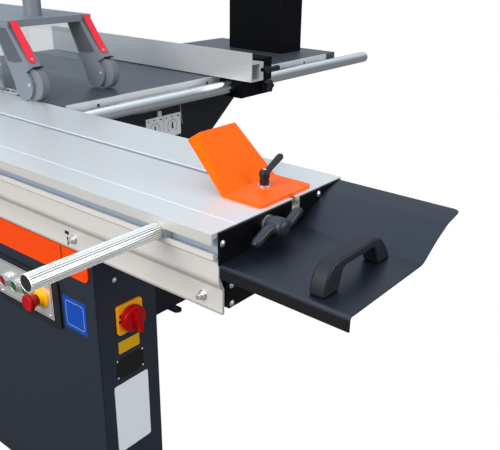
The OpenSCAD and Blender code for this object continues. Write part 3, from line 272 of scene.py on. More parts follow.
def ring_data(outer, inner, axis, w0, w1):
    """A pushed outline with a hole. Both outlines have the same count."""
    turn = AXES[axis]
    n = len(outer)
    verts = [turn(u, v, w) for w in (w0, w1) for line in (outer, inner) for u, v in line]
    faces = []
    for i in range(n):
        j = (i + 1) % n
        faces += [(i, j, n + j, n + i), (2 * n + i, 2 * n + j, 3 * n + j, 3 * n + i)]
        faces += [(i, j, 2 * n + j, 2 * n + i), (n + i, n + j, 3 * n + j, 3 * n + i)]
    return verts, faces


def joined(*parts):
    verts, faces = [], []
    for v, f in parts:
        base = len(verts)
        verts += v
        faces += [tuple(i + base for i in face) for face in f]
    return verts, faces


def round_rect(u0, u1, v0, v1, r, steps=5):
    out = []
    corners = ((u1 - r, v1 - r, 0), (u0 + r, v1 - r, 90), (u0 + r, v0 + r, 180), (u1 - r, v0 + r, 270))
    for cu, cv, a0 in corners:
        for i in range(steps + 1):
            a = math.radians(a0 + 90 * i / steps)
            out.append((cu + r * math.cos(a), cv + r * math.sin(a)))
    return out


def lathe_data(profile, origin, axis, count=40):
    """Turns (radius, along) pairs about an axis. A radius of zero closes an end."""
    axis = Vector(axis).normalized()
    side = axis.orthogonal().normalized()
    up = axis.cross(side)
    origin = Vector(origin)
    verts, rings = [], []
    for r, h in profile:
        if r == 0:
            rings.append([len(verts)])
            verts.append(tuple(origin + axis * h))
        else:
            rings.append(list(range(len(verts), len(verts) + count)))
            for i in range(count):
                a = 2 * math.pi * i / count
                verts.append(tuple(origin + axis * h + (side * math.cos(a) + up * math.sin(a)) * r))
    faces = []
    for a, b in zip(rings, rings[1:]):
        for i in range(count):
            j = (i + 1) % count
            if len(a) == 1:
                faces.append((a[0], b[i], b[j]))
            elif len(b) == 1:
                faces.append((a[i], a[j], b[0]))
            else:
                faces.append((a[i], a[j], b[j], b[i]))
    return verts, faces


def lathe(name, profile, origin, axis, body, slot, count=40, **more):
    verts, faces = lathe_data(profile, origin, axis, count)
    return piece(name, verts, faces, body, slot, **more)


def sweep_data(path, sizes, flat=(0, 1, 0), count=20, power=1.0):
    """A closed tube along a path. sizes are (across flat, along flat) half widths at each point."""
    flat = Vector(flat).normalized()
    path = [Vector(p) for p in path]
    verts, faces = [], []
    for k, p in enumerate(path):
        ahead = path[min(k + 1, len(path) - 1)] - path[max(k - 1, 0)]
        across = ahead.normalized().cross(flat).normalized()
        for i in range(count):
            a = 2 * math.pi * i / count
            c, s = math.cos(a), math.sin(a)
            cu = math.copysign(abs(c) ** power, c)
            su = math.copysign(abs(s) ** power, s)
            verts.append(tuple(p + across * cu * sizes[k][0] + flat * su * sizes[k][1]))
    for k in range(len(path) - 1):
        for i in range(count):
            j = (i + 1) % count
            a, b = k * count, (k + 1) * count
            faces.append((a + i, a + j, b + j, b + i))
    faces.append(tuple(range(count)))
    last = (len(path) - 1) * count
    faces.append(tuple(range(last + count - 1, last - 1, -1)))
    return verts, faces


def spline(points, steps=6):
    """A smooth path through points."""
    pts = [Vector(p) for p in points]
    out = []
    for k in range(len(pts) - 1):
        p0, p1, p2, p3 = pts[max(k - 1, 0)], pts[k], pts[k + 1], pts[min(k + 2, len(pts) - 1)]
        for i in range(steps):
            t = i / steps
            bend = 2 * p0 - 5 * p1 + 4 * p2 - p3
            twist = 3 * p1 - p0 - 3 * p2 + p3
            out.append(0.5 * (2 * p1 + (p2 - p0) * t + bend * t**2 + twist * t**3))
    out.append(pts[-1])
    return out


def between(values, count):
    """Values spread evenly over count points."""
    out = []
    for i in range(count):
        t = i / (count - 1) * (len(values) - 1)
        k = min(int(t), len(values) - 2)
        f = t - k
        out.append(tuple(a + (b - a) * f for a, b in zip(values[k], values[k + 1])))
    return out


# Tray: one folded sheet with a flange at its left and a wing that rises in soft folds

TRAY_Y0, TRAY_Y1, TRAY_T = -240, -4, 2.5
# The flange and its bend, the first points of the line, stand this much further in at the carriage
TRAY_SKEW, FLANGE_POINTS = 5.5, 5
TRAY_LINE = [
    (8, -77.5), (8, -59.5), (8.8, -56.5), (10.8, -54.3), (13.8, -53.5), (217, -53.5), (223, -52.7),
    (229, -49.9), (259, -31.2), (265, -27.6), (271, -24.6), (296, -12.9), (302, -10.4), (308, -8.7),
    (335, -3.6), (350, -2),
]
FLANGE_FACE = [(7.75, -77.4), (8.05, -77.4), (8.05, -60), (7.75, -60)]
FACE_INSET = 0.1
# Rows along the tray, each with the cut that rounds the wing's front corner
TRAY_ROWS = [(TRAY_Y0, 9), (TRAY_Y0 + 2.5, 4.5), (TRAY_Y0 + 6, 1.8), (TRAY_Y0 + 12, 0), (TRAY_Y1, 0)]


def sheet_outline(line, t):
    """A line given thickness below and inside of its turn."""
    out = []
    for k, (u, v) in enumerate(line):
        a = Vector(line[max(k - 1, 0)])
        b = Vector(line[min(k + 1, len(line) - 1)])
        d = (b - a).normalized()
        out.append((u + d.y * t, v - d.x * t))
    return list(line) + out[::-1]


def tray_sheet():
    outline = sheet_outline(TRAY_LINE, TRAY_T)
    half, n = len(TRAY_LINE), 2 * len(TRAY_LINE)
    verts, faces = [], []
    for y, cut in TRAY_ROWS:
        skew = TRAY_SKEW * (y - TRAY_Y0) / (TRAY_Y1 - TRAY_Y0)
        for k, (u, v) in enumerate(outline):
            step = min(k, n - 1 - k)
            shift = skew if step < FLANGE_POINTS else -cut if step == half - 1 else 0
            verts.append((u + shift, y, v))
    rows = len(TRAY_ROWS)
    for r in range(rows - 1):
        for k in range(n):
            j = (k + 1) % n
            faces.append((r * n + k, r * n + j, (r + 1) * n + j, (r + 1) * n + k))
    for base in (0, (rows - 1) * n):
        for k in range(half - 1):
            faces.append((base + k, base + k + 1, base + n - 2 - k, base + n - 1 - k))
    piece("tray_sheet", verts, faces, "carriage", "tray_paint", smooth=4, replaces=["tray"])


def flange_face():
    """The flange's outer face, painted blacker than the tray's inside as the shade that falls on it."""
    front = [(x, TRAY_Y0 + FACE_INSET, z) for x, z in FLANGE_FACE]
    rear = [(x + TRAY_SKEW, TRAY_Y1 - FACE_INSET, z) for x, z in FLANGE_FACE]
    verts, faces = slab_data(front, rear)
    piece("flange_face", verts, faces, "carriage", "tray_paint", look="near_black_and_painted_shade")


tray_sheet()
flange_face()

GRIP_LOW, GRIP_Y, GRIP_HALF = -53.5, -174, 13.5
GRIP_OUTER = [
    (25, 0), (26.5, 12), (29.5, 23), (34.5, 33), (41, 40), (48.5, 44.8), (57, 47.3), (66, 48), (150, 48),
    (161, 47.4), (171, 45.2), (181, 40.8), (190.5, 33.6), (199, 23.5), (207.5, 11.5), (215, 0),
]
GRIP_INNER = [
    (175, 0), (171.5, 9), (167, 20), (163.5, 28), (160.5, 31.4), (155, 33), (84, 33), (78, 31.8),
    (74, 28.5), (71, 22), (68, 10), (65, 0),
]


def tray_grip():
    """Bridge handle: two leaning legs that flow into a flat rounded bar."""
    outline = [(x, GRIP_LOW + h) for x, h in GRIP_OUTER + GRIP_INNER]
    y0, y1 = GRIP_Y - GRIP_HALF, GRIP_Y + GRIP_HALF
    prism("tray_grip", outline, "y", y0, y1, "carriage", "black_plastic", smooth=40, round_by=4.0,
        segments=4, replaces=["tray_handle"])


tray_grip()

LOCK_X, LOCK_Y, LOCK_Z, WING_OUT = 131, -8.3, -21, 18
LOCK_HUB = [
    (0, 0), (14.5, 0), (14.5, 9), (16.4, 10), (16.8, 26), (15.6, 30.5), (12.2, 33.8), (7, 35), (0, 35),
]
WING_STEPS = [(5, 3), (15, -1), (27, -2.5), (39, 2.5), (50, 8.5), (58, 9.4), (63, 7.2)]
WING_SIZES = [(12, 10), (9, 9), (7, 8.4), (7.2, 8.2), (8.2, 7.8), (7.2, 7.2), (3, 4.2)]


def lock_wing():
    """Wing handle: a hub with a domed nose and two curved blades."""
    parts = [lathe_data(LOCK_HUB, (LOCK_X, LOCK_Y, LOCK_Z), (0, -1, 0), 36)]
    y = LOCK_Y - WING_OUT
    for side in (1, -1):
        path = spline([(LOCK_X + side * u, y, LOCK_Z + side * v) for u, v in WING_STEPS], 6)
        parts.append(sweep_data(path, between(WING_SIZES, len(path)), (0, 1, 0), 20, 0.7))
    verts, faces = joined(*parts)
    piece("lock_wing", verts, faces, "lock_handle", "black_plastic", look="lock_plastic", smooth=50,
        replaces=["lock_handle"])


lock_wing()


# Clamp shoe: foot, key, sloping plate and its bent corner from one sheet, and the clamping lever

SHOE_X0, SHOE_X1, SHOE_Y0, FOLD_Y = 131, 277, 9, 94
SHOE_T, SHOE_GAP, SLOPE, SLANT = 5, 0.3, math.radians(40), 130
CREASE, FLANGE, BEND = 49, 24, math.radians(30)
FOOT_R, FOOT_STEPS = 10, 5
TIP_IN = 1.2
KEY = [(206.3, 9), (221.7, 9), (221.7, 39), (206.3, 39)]
KEY_LOW, KEY_IN = -6, 0.2


def slope_point(u, v, n):
    """A point of the sloping plate: u across, v up the slope, n off its underside."""
    return (
        SHOE_X0 + u,
        FOLD_Y + v * math.cos(SLOPE) - n * math.sin(SLOPE),
        SHOE_GAP + v * math.sin(SLOPE) + n * math.cos(SLOPE),
    )


def foot_outline():
    out = [(SHOE_X0, FOLD_Y), (SHOE_X0, SHOE_Y0 + FOOT_R)]
    turns = [90 * i / FOOT_STEPS for i in range(FOOT_STEPS + 1)]
    for a in turns[1:]:
        c, s = math.cos(math.radians(a)), math.sin(math.radians(a))
        out.append((SHOE_X0 + FOOT_R * (1 - c), SHOE_Y0 + FOOT_R * (1 - s)))
    for a in turns:
        c, s = math.cos(math.radians(a)), math.sin(math.radians(a))
        out.append((SHOE_X1 - FOOT_R * (1 - s), SHOE_Y0 + FOOT_R * (1 - c)))
    return out + [(SHOE_X1, FOLD_Y)]


def shoe_sheet():
    width = SHOE_X1 - SHOE_X0
    back = SHOE_T * math.tan(SLOPE / 2)
    foot = foot_outline()
    low = [(x, y, SHOE_GAP) for x, y in foot]
    high = [(x, y - (back if y == FOLD_Y else 0), SHOE_GAP + SHOE_T) for x, y in foot]
    top = ((width, SLANT), (CREASE, SLANT))
    plate_low = [slope_point(u, v, 0) for u, v in ((0, 0), (width, 0)) + top]
    plate_high = [slope_point(u, v, SHOE_T) for u, v in ((0, back), (width, back)) + top]
    tip_u, tip_n = CREASE - FLANGE * math.cos(BEND), -FLANGE * math.sin(BEND)
    bend_low = [slope_point(0, 0, 0), slope_point(CREASE, SLANT, 0), slope_point(tip_u, SLANT, tip_n)]
    bend_high = [
        slope_point(0, back, SHOE_T),
        slope_point(CREASE, SLANT, SHOE_T),
        slope_point(tip_u + TIP_IN, SLANT, tip_n + SHOE_T),
    ]
    verts, faces = joined(
        slab_data(low, high),
        slab_data(plate_low, plate_high),
        slab_data(bend_low, bend_high),
        prism_data(KEY, "z", KEY_LOW, SHOE_GAP + KEY_IN),
    )
    piece("shoe_sheet", verts, faces, "clamp_shoe", "orange_paint", look="shoe_orange_painted_light", smooth=12,
        replaces=["shoe_plate"])


shoe_sheet()

CLAMP_X, CLAMP_Y = 214, 68
CLAMP_HUB = [
    (0, 8.4), (8.6, 8.4), (9, 12), (8.2, 17), (9, 22), (9.7, 28), (9.2, 32), (6.8, 35), (4.2, 35.6),
    (3.8, 34.8), (0, 34.8),
]
CLAMP_STEPS = [(-3, 26), (5, 29.5), (16, 35), (30, 42), (40, 46.8), (46, 49.4), (50, 50.8)]
CLAMP_SIZES = [(5.6, 6.4), (5.6, 6.6), (4.8, 5.6), (5.4, 5.8), (6, 6.2), (5.6, 5.8), (2, 2.2)]
CLAMP_SCREW = [(0, 34.8), (3.7, 34.8), (3.7, 36), (3, 36.6), (1.7, 36.6), (1.5, 35.6), (0, 35.6)]


def clamp_handle():
    at, up = (CLAMP_X, CLAMP_Y, 0), (0, 0, 1)
    path = spline([(CLAMP_X + u, CLAMP_Y, v) for u, v in CLAMP_STEPS], 6)
    arm = sweep_data(path, between(CLAMP_SIZES, len(path)), (0, 1, 0), 24, 0.8)
    verts, faces = joined(lathe_data(CLAMP_HUB, at, up, 32), arm)
    piece("clamp_handle", verts, faces, "clamp_lever", "black_plastic", smooth=50, replaces=["clamp_lever"])
    lathe("clamp_screw", CLAMP_SCREW, at, up, "clamp_lever", "zinc_steel", 24)


clamp_handle()


# Push handle: a tube with fine grooves along it whose dark floors are painted shade, a bright rim and an
# inset dark cap

PUSH_Y, PUSH_Z, TUBE_R, TUBE_BORE = 117, -25, 13.5, 4.65
TUBE_X0, TUBE_X1 = -242.8, -3.3
GROOVES, GROOVE_DEEP, GROOVE_FLOOR = 22, 1.2, 0.35
TUBE_RIM = [(12.5, -0.6), (13.3, -0.6), (13.3, 0.9), (13, 1.2), (12.7, 1.2), (12.5, 1), (12.5, -0.6)]
TUBE_CAP = [(0, -2), (12.4, -2), (12.4, 0.4), (12, 0.7), (0, 0.7)]
# Corners of one rib and the groove after it: share of the pitch, depth
RIB = ((-0.31, 0), (-0.1, 0), (0.1, 0), (0.31, 0), (0.35, GROOVE_DEEP), (0.65, GROOVE_DEEP))
FLOOR_FROM, FLOOR_TO, FLOOR_IN = 0.36, 0.64, 0.1


def tube_point(share, r):
    a = 2 * math.pi * share / GROOVES
    return (PUSH_Y + r * math.cos(a), PUSH_Z + r * math.sin(a))


def push_tube():
    corners = [(i + share, deep) for i in range(GROOVES) for share, deep in RIB]
    outer = [tube_point(share, TUBE_R - deep) for share, deep in corners]
    inner = [tube_point(share, TUBE_BORE) for share, deep in corners]
    at, out = (TUBE_X0, PUSH_Y, PUSH_Z), (-1, 0, 0)
    verts, faces = joined(
        ring_data(outer, inner, "x", TUBE_X0, TUBE_X1), lathe_data(TUBE_RIM, at, out, 48)
    )
    piece("grooved_tube", verts, faces, "handle_grip", "bright_aluminium", look="tube_satin",
        replaces=["handle_grip"])
    lathe("tube_cap", TUBE_CAP, at, out, "handle_grip", "black_plastic", 48, look="brown_cap",
        replaces=["handle_cap"])
    # Dark floors in the grooves: painted shade
    low, high = TUBE_R - GROOVE_DEEP - FLOOR_IN, TUBE_R - GROOVE_DEEP + GROOVE_FLOOR
    section = ((FLOOR_FROM, low), (FLOOR_TO, low), (FLOOR_TO, high), (FLOOR_FROM, high))
    floors = []
    for i in range(GROOVES):
        quad = [tube_point(i + share, r) for share, r in section]
        floors.append(prism_data(quad, "x", TUBE_X0, TUBE_X1))
    verts, faces = joined(*floors)
    piece("tube_groove_floors", verts, faces, "handle_grip", "bright_aluminium", look="groove_painted_shade")


push_tube()


# Controls on the side panel

PANEL_X = 22
BUTTON_Z = -296
ESTOP_Y, START_FRONT_Y, START_REAR_Y, STOP_Y = 507, 551, 594, 637
ESTOP_RING = [
    (11.1, 0), (23.5, 0), (23.5, 2.8), (22.4, 4), (19, 4.8), (17, 6.4), (15.6, 10), (15, 12.6),
    (14.2, 13.6), (11.1, 13.6), (11.1, 0),
]
ESTOP_HEAD = [
    (0, -6), (10.6, -6), (10.6, 18.2), (13.6, 18.6), (14.4, 21), (15.4, 25.5), (17.4, 28), (18.8, 30),
    (19.2, 33.4), (18.6, 36.4), (16.6, 38.2), (13, 38.6), (10, 37.6), (0, 37.4),
]
BUTTON_CAP = [(0, -6), (10.9, -6), (10.9, 10.4), (10.2, 11.6), (8.6, 11.8), (6, 11.4), (0, 11.2)]
BUTTON_RING = [
    (11.1, 0), (16, 0), (16, 1), (14.4, 1.8), (14.2, 11.2), (13.8, 12.6), (12.6, 13.2), (11.6, 12.8),
    (11.1, 12), (11.1, 0),
]


def estop():
    at, out = (PANEL_X, ESTOP_Y, BUTTON_Z), (-1, 0, 0)
    lathe("estop_ring", ESTOP_RING, at, out, "base", "yellow_plastic", 48, look="collar_yellow",
        replaces=["estop_collar"])
    lathe("estop_head", ESTOP_HEAD, at, out, "estop_button", "red_plastic", 48, replaces=["estop_button"])


def push_button(name, y, slot):
    at = (PANEL_X, y, BUTTON_Z)
    lathe(name + "_cap", BUTTON_CAP, at, (-1, 0, 0), name, slot, 40, replaces=[name])


def button_rings():
    places = [(PANEL_X, y, BUTTON_Z) for y in (START_FRONT_Y, START_REAR_Y, STOP_Y)]
    verts, faces = joined(*[lathe_data(BUTTON_RING, at, (-1, 0, 0), 40) for at in places])
    piece("button_rings", verts, faces, "base", "zinc_steel", replaces=["button_bezels"])


estop()
button_rings()
push_button("start_button_front", START_FRONT_Y, "green_lens")
push_button("start_button_rear", START_REAR_Y, "green_lens")
push_button("stop_button", STOP_Y, "red_lens")

SWITCH_X, SWITCH_Z, FRONT_Y = 107, -312, 333
SWITCH_HALF, SWITCH_T = 33, 8
KNOB_DISC = [(0, 0), (26.5, 0), (28.4, 1.5), (29, 4), (29, 12), (28, 14.6), (25.4, 16), (0, 16)]
KNOB_GRIP = [
    (-4.5, 25), (4.5, 25), (5.2, 20), (5.2, -18), (3.6, -26), (0, -31), (-3.6, -26), (-5.2, -18), (-5.2, 20),
]
KNOB_TURN, KNOB_GAP, GRIP_OUT, GRIP_IN = math.radians(10), 0.3, 30, 10
SWITCH_MARKS = (("switch_mark_top", 79.5, -300), ("switch_mark_low", 77.5, -313))
SIGN_W, SIGN_H, SIGN_OUT, SIGN_IN = 2.4, 3, 0.3, 0.1


def main_switch():
    x, z, y = SWITCH_X, SWITCH_Z, FRONT_Y - SWITCH_T
    face = round_rect(x - SWITCH_HALF, x + SWITCH_HALF, z - SWITCH_HALF, z + SWITCH_HALF, 5)
    prism("switch_face", face, "y", y, FRONT_Y, "base", "yellow_plastic", round_by=1.4,
        replaces=["switch_plate"])
    disc = lathe_data(KNOB_DISC, (x, y - KNOB_GAP, z), (0, -1, 0), 48)
    c, s = math.cos(KNOB_TURN), math.sin(KNOB_TURN)
    grip = [(x + u * c - v * s, z + u * s + v * c) for u, v in KNOB_GRIP]
    verts, faces = joined(disc, prism_data(grip, "y", y - GRIP_OUT, y - GRIP_IN))
    piece("switch_grip", verts, faces, "switch_knob", "red_plastic", round_by=1.2, replaces=["switch_knob"])
    for name, u, v in SWITCH_MARKS:
        mark = round_rect(u - SIGN_W, u + SIGN_W, v - SIGN_H, v + SIGN_H, 0.6, 2)
        prism(name, mark, "y", y - SIGN_OUT, y + SIGN_IN, "base", "black_plastic", look="near_black_and_painted_shade")


main_switch()


# Bare plates in the places of the labels, the skirt's soft fold with a strip of painted shade, strips of
# painted light and shade along the carriage, near-black plates as painted shade in openings

LABEL_T, LINE_T, MARK_T = 0.6, 0.15, 0.25
BASE_X = 27
TRIM_X, SEAM_Y = 23, 423
SIDE_X, SKIRT_X, SKIN = 16, 25, 0.7
SKIRT_HIGH, SKIRT_LOW, SHADE_LOW, EDGE_HIGH = -45.1, -149, -53.8, -145
SKIRT_FOLD = [(16, -84), (16.4, -87), (17.3, -89.6), (18.6, -92.2), (25, -103.8)]
FOLD_SHADE = [(19.1, -93.2), (24.9, -103.7)]
CARRIAGE_Y0, CARRIAGE_Y1 = 0.05, 2599.95
LINE_Y0, LINE_Y1 = 2, 2598
HIGH_FACE, LOW_FACE = SIDE_X - SKIN, SKIRT_X - SKIN
RAIL_X = 36
BLUE_PLATE = (365.5, 438.5, -340.5, -266, 1)
# Thin closed lines: name, outline, width, x of the face, look
FRAMES = (
    ("blue_plate_line", (373, 431, -332, -275, 6), 1.2, BASE_X - LABEL_T, "pale_line"),
    ("panel_line", (473.5, 674.5, -336.5, -255.5, 4), 0.9, PANEL_X, "near_black_and_painted_shade"),
)
# Plates on the front: name, outline, look, slot
FRONT_LABELS = (
    ("yellow_label", (76, 133, -392.5, -364.5, 2), "yellow_label", "body_paint"),
    ("black_label", (67, 141.5, -452, -405, 0.8), "near_black_and_painted_shade", "black_paint"),
    ("white_label", (57.5, 151.5, -640, -466, 5), "white_label", "body_paint"),
)
RIVET = [(2.4, 0.5), (2.3, 1.1), (1.4, 1.9), (0, 2.1)]
RIVET_PLACES = ((70, -408), (138.5, -408), (70, -448.5), (138.5, -448.5))
# Strips along the carriage, painted light and shade on the profile: the slots' insides and the lines under
# the lower lip and at the skirt's foot are painted shade, the groove and slot edge lines painted highlights,
# the upper lip's face a tone set for its light: name, x from and to, z from and to, look
CARRIAGE_LINES = (
    ("slot_painted_shade", SIDE_X - 0.2, SIDE_X, -40.8, -4.5, "slot_painted_shade"),
    ("groove_line", 56.2, 58.8, -1.45, -0.1, "painted_highlight_line"),
    ("top_slot_line", 221.8, 222, -2.6, -0.2, "painted_highlight_line"),
    ("top_slot_shade", 221.8, 222, -6.6, -2.6, "slot_painted_shade"),
    ("lip_face", -0.03, 0, -18.8, -0.6, "lip_painted_light"),
    ("low_lip_face", 3.9, 4, -44.9, -35.2, "skirt_satin"),
    ("lip_shade", HIGH_FACE - 0.1, HIGH_FACE, SHADE_LOW, SKIRT_HIGH, "skirt_shade"),
    ("skirt_edge", LOW_FACE - 0.1, LOW_FACE, SKIRT_LOW, EDGE_HIGH, "skirt_shade"),
)
# Dark openings on side faces, near-black plates that paint the shade inside them: name, outline, x of the
# face, body
OPENINGS = (
    ("trim_seam", (SEAM_Y - 1.4, SEAM_Y + 1.4, -211, -152, 0.6, 2), TRIM_X, "base"),
    ("skirt_hole", (393, 405.5, -121, -114, 0.8, 2), LOW_FACE, "carriage"),
    ("skirt_slit", (396.5, 400.5, -144, -125.5, 1, 3), LOW_FACE, "carriage"),
    ("rail_edge", (0.2, 10, -140, -84, 0.5, 2), RAIL_X, "base"),
)


def side_plate(name, outline, look, slot, x=BASE_X, t=LABEL_T, body="base"):
    return prism(name, outline, "x", x - t, x, body, slot, look=look)


def front_plate(name, outline, look, slot, t=LABEL_T, y=FRONT_Y):
    return prism(name, outline, "y", y - t, y, "base", slot, look=look)


def line_frame(name, outline, width, x, look):
    """A thin closed line on a side face."""
    y0, y1, z0, z1, r = outline
    outer = round_rect(y0, y1, z0, z1, r)
    inner = round_rect(y0 + width, y1 - width, z0 + width, z1 - width, r - width)
    verts, faces = ring_data(outer, inner, "x", x - LINE_T, x)
    piece(name, verts, faces, "base", "body_paint", look=look)


def labels():
    side_plate("blue_plate", round_rect(*BLUE_PLATE), "blue_plate", "body_paint")
    for line in FRAMES:
        line_frame(*line)
    for name, outline, look, slot in FRONT_LABELS:
        front_plate(name, round_rect(*outline), look, slot)
    for i, (x, z) in enumerate(RIVET_PLACES):
        lathe("label_rivet_%d" % i, RIVET, (x, FRONT_Y, z), (0, -1, 0), "base", "zinc_steel", 16)


def skirt_skin():
    """The skirt's outer face: it turns in softly and meets the lower half in a crease."""
    line = [(SIDE_X, SKIRT_HIGH)] + SKIRT_FOLD + [(SKIRT_X, SKIRT_LOW)]
    outline = [(x - SKIN, z) for x, z in line] + [(x + SKIN, z) for x, z in line[::-1]]
    prism("skirt_skin", outline, "y", CARRIAGE_Y0, CARRIAGE_Y1, "carriage", "aluminium_profile",
        look="skirt_satin")
    # A darker strip on the crease's lower slope: painted shade
    shade = [(x - SKIN - LINE_T, z) for x, z in FOLD_SHADE] + FOLD_SHADE[::-1]
    prism("fold_shade", shade, "y", CARRIAGE_Y0, CARRIAGE_Y1, "carriage", "aluminium_profile",
        look="fold_painted_shade")


def carriage_line(name, x0, x1, z0, z1, look):
    """A thin strip along the carriage."""
    strip = [(x0, z0), (x1, z0), (x1, z1), (x0, z1)]
    prism(name, strip, "y", LINE_Y0, LINE_Y1, "carriage", "aluminium_profile", look=look)


labels()
skirt_skin()
for strip_line in CARRIAGE_LINES:
    carriage_line(*strip_line)
for opening, reach, face_x, face_body in OPENINGS:
    side_plate(opening, round_rect(*reach), "near_black_and_painted_shade", "black_paint", face_x, MARK_T, face_body)


# Cabinet's front: dial plates with pointers, a stop, a thin wire. Screws of the scale strip

CABINET_Y, STRIP_Y = 967, 850
DIALS = (("left", 750.5, 827.5), ("right", 828.5, 907))
DIAL_Z0, DIAL_Z1, DIAL_T, DIAL_DROP = -200, -125.5, 1.2, 3
TICK_R0, TICK_R1, TICK_COUNT, TICK_SWEEP, TICK_W, TICK_T = 19, 24, 25, 270, 1.2, 0.2
# Small marks over a dial, from its middle and its upper edge
DIAL_MARKS = ((-6, 2, -10, -7), (22, 32, -12, -8), (-30, -24, -12, -8))
DIAL_HAND = [(-4, -9), (4, -9), (2, 12), (0, 15), (-2, 12)]
HAND_T = 1.6
DIAL_STOP, STOP_T = (796, 813, -123, -104, 3), 10
STRIP_SCREWS, SCREW_HALF, SCREW_Z0, SCREW_Z1, SCREW_T = (477, 914, 1452), 4, -18.5, -11, 0.4
WIRE_R = 1.3
WIRE = [(904, 965.4, -92), (906, 965, -112), (910, 965, -138), (914, 965.4, -166)]


def ticks(cx, cz, y):
    """The ring of short lines on a dial."""
    parts = []
    for i in range(TICK_COUNT):
        a = math.radians(90 - TICK_SWEEP / 2 + TICK_SWEEP * i / (TICK_COUNT - 1))
        d = Vector((math.cos(a), math.sin(a)))
        s = Vector((-d.y, d.x)) * TICK_W / 2
        quad = [d * TICK_R0 - s, d * TICK_R1 - s, d * TICK_R1 + s, d * TICK_R0 + s]
        parts.append(prism_data([(cx + q.x, cz + q.y) for q in quad], "y", y - TICK_T, y))
    return joined(*parts)


def dial(side, x0, x1):
    outline = round_rect(x0, x1, DIAL_Z0, DIAL_Z1, 2)
    front_plate("dial_plate_" + side, outline, "white_label", "body_paint", DIAL_T, CABINET_Y)
    cx, cz, y = (x0 + x1) / 2, (DIAL_Z0 + DIAL_Z1) / 2 - DIAL_DROP, CABINET_Y - DIAL_T
    parts = [ticks(cx, cz, y)]
    for u0, u1, v0, v1 in DIAL_MARKS:
        mark = round_rect(cx + u0, cx + u1, DIAL_Z1 + v0, DIAL_Z1 + v1, 0.8, 2)
        parts.append(prism_data(mark, "y", y - TICK_T, y))
    verts, faces = joined(*parts)
    piece("dial_ticks_" + side, verts, faces, "base", "black_plastic", look="near_black_and_painted_shade")
    hand = [(cx + u, cz + v) for u, v in DIAL_HAND]
    prism("dial_pointer_" + side, hand, "y", y - HAND_T, y, "base", "black_plastic", look="near_black_and_painted_shade",
        round_by=0.4)


def cabinet_front():
    for side, x0, x1 in DIALS:
        dial(side, x0, x1)
    prism("dial_stop", round_rect(*DIAL_STOP), "y", CABINET_Y - STOP_T, CABINET_Y, "base", "body_paint",
        look="ivory", round_by=1.5)
    path = spline(WIRE, 5)
    verts, faces = sweep_data(path, [(WIRE_R, WIRE_R)] * len(path), (0, 1, 0), 10)
    piece("dial_wire", verts, faces, "base", "zinc_steel")
    for i, x in enumerate(STRIP_SCREWS):
        head = round_rect(x - SCREW_HALF, x + SCREW_HALF, SCREW_Z0, SCREW_Z1, 1, 2)
        prism("strip_screw_%d" % i, head, "y", STRIP_Y - SCREW_T, STRIP_Y, "base", "black_plastic",
            look="near_black_and_painted_shade", round_by=0.15)


cabinet_front()


# Fence: lever with its grip, and a lobed clamping knob with a brass neck

LEVER_X, LEVER_Y, LEVER_Z = 1014, 690.7, 33
LEVER_HUB = [(0, -9), (11, -9), (12, -8), (12, 9), (4.5, 9), (4.5, 27), (0, 27)]
LEVER_GRIP = [
    (0, 6), (5.6, 6), (6.6, 12), (6, 18), (6.6, 30), (7.2, 44), (8, 56), (7.8, 63), (6, 65.6), (0, 66),
]
KNOB_X, KNOB_Z, KNOB_Y0, KNOB_Y1 = 1089, -34, 727.7, 747.7
KNOB_LOBES, LOBE_MID, LOBE_SWING, LOBE_STEPS = 5, 18.4, 2.6, 60
KNOB_PIN = [(0, -1), (4.5, -1), (4.5, 19.3), (0, 19.3)]
BRASS_NECK = [(4.55, 0), (9, 0), (9, 4), (8, 5), (8, 9.6), (4.55, 9.6), (4.55, 0)]


def lever_handle():
    at = (LEVER_X, LEVER_Y, LEVER_Z)
    hub = lathe_data(LEVER_HUB, at, (0, 1, 0), 36)
    verts, faces = joined(hub, lathe_data(LEVER_GRIP, at, (1, 0, 0), 28))
    piece("lever_handle", verts, faces, "fence_lever", "black_plastic", replaces=["fence_lever"])


def clamping_knob():
    outline = []
    for i in range(LOBE_STEPS):
        a = 2 * math.pi * i / LOBE_STEPS
        r = LOBE_MID + LOBE_SWING * math.cos(KNOB_LOBES * a)
        outline.append((KNOB_X + r * math.cos(a), KNOB_Z + r * math.sin(a)))
    at, back = (KNOB_X, KNOB_Y1, KNOB_Z), (0, 1, 0)
    verts, faces = joined(prism_data(outline, "y", KNOB_Y0, KNOB_Y1), lathe_data(KNOB_PIN, at, back, 24))
    piece("lobed_knob", verts, faces, "fence_knob", "black_plastic", round_by=2.5, replaces=["fence_knob"])
    lathe("brass_neck", BRASS_NECK, at, back, "fence_knob", "zinc_steel", 28, look="brass")


lever_handle()
clamping_knob()


# Guard arms: red strips on the sloping fronts, dark plates of painted shade in the recesses, end bars, axle
# heads and ribbed rollers

ARMS = (("left", 340), ("right", 578))
AXLE_Y, AXLE_Z, ROLLER_R = 958, 45, 43
ARM_FOOT, ARM_HEAD = Vector((0, 946, 90)), Vector((0, 1030, 203))
STRIP_U0, STRIP_U1, STRIP_S0, STRIP_S1, STRIP_T, STRIP_STEPS = 7, 29, 14, 139, 1.2, 12
RECESS = [(978, 104), (1012, 98), (1046, 98), (1093, 184), (1038, 184)]
RECESS_T = 0.3
ARM_BAR, BAR_X0, BAR_X1 = (939.5, 950, 88.8, 92.6, 1.2, 3), 8, 36
ROLLER_BORE, ROLLER_W, ROLLER_IN = 6.05, 26.7, 9.3
RIB_COUNT, RIB_PITCH, RIB_DEEP = 7, 3, 0.9
AXLE_HEAD = [(5.6, 0), (5.4, 1), (3.4, 1.7), (0, 1.9)]
STRIP_RIVET = [(3.4, 0), (3.2, 0.8), (2, 1.2), (0, 1.3)]


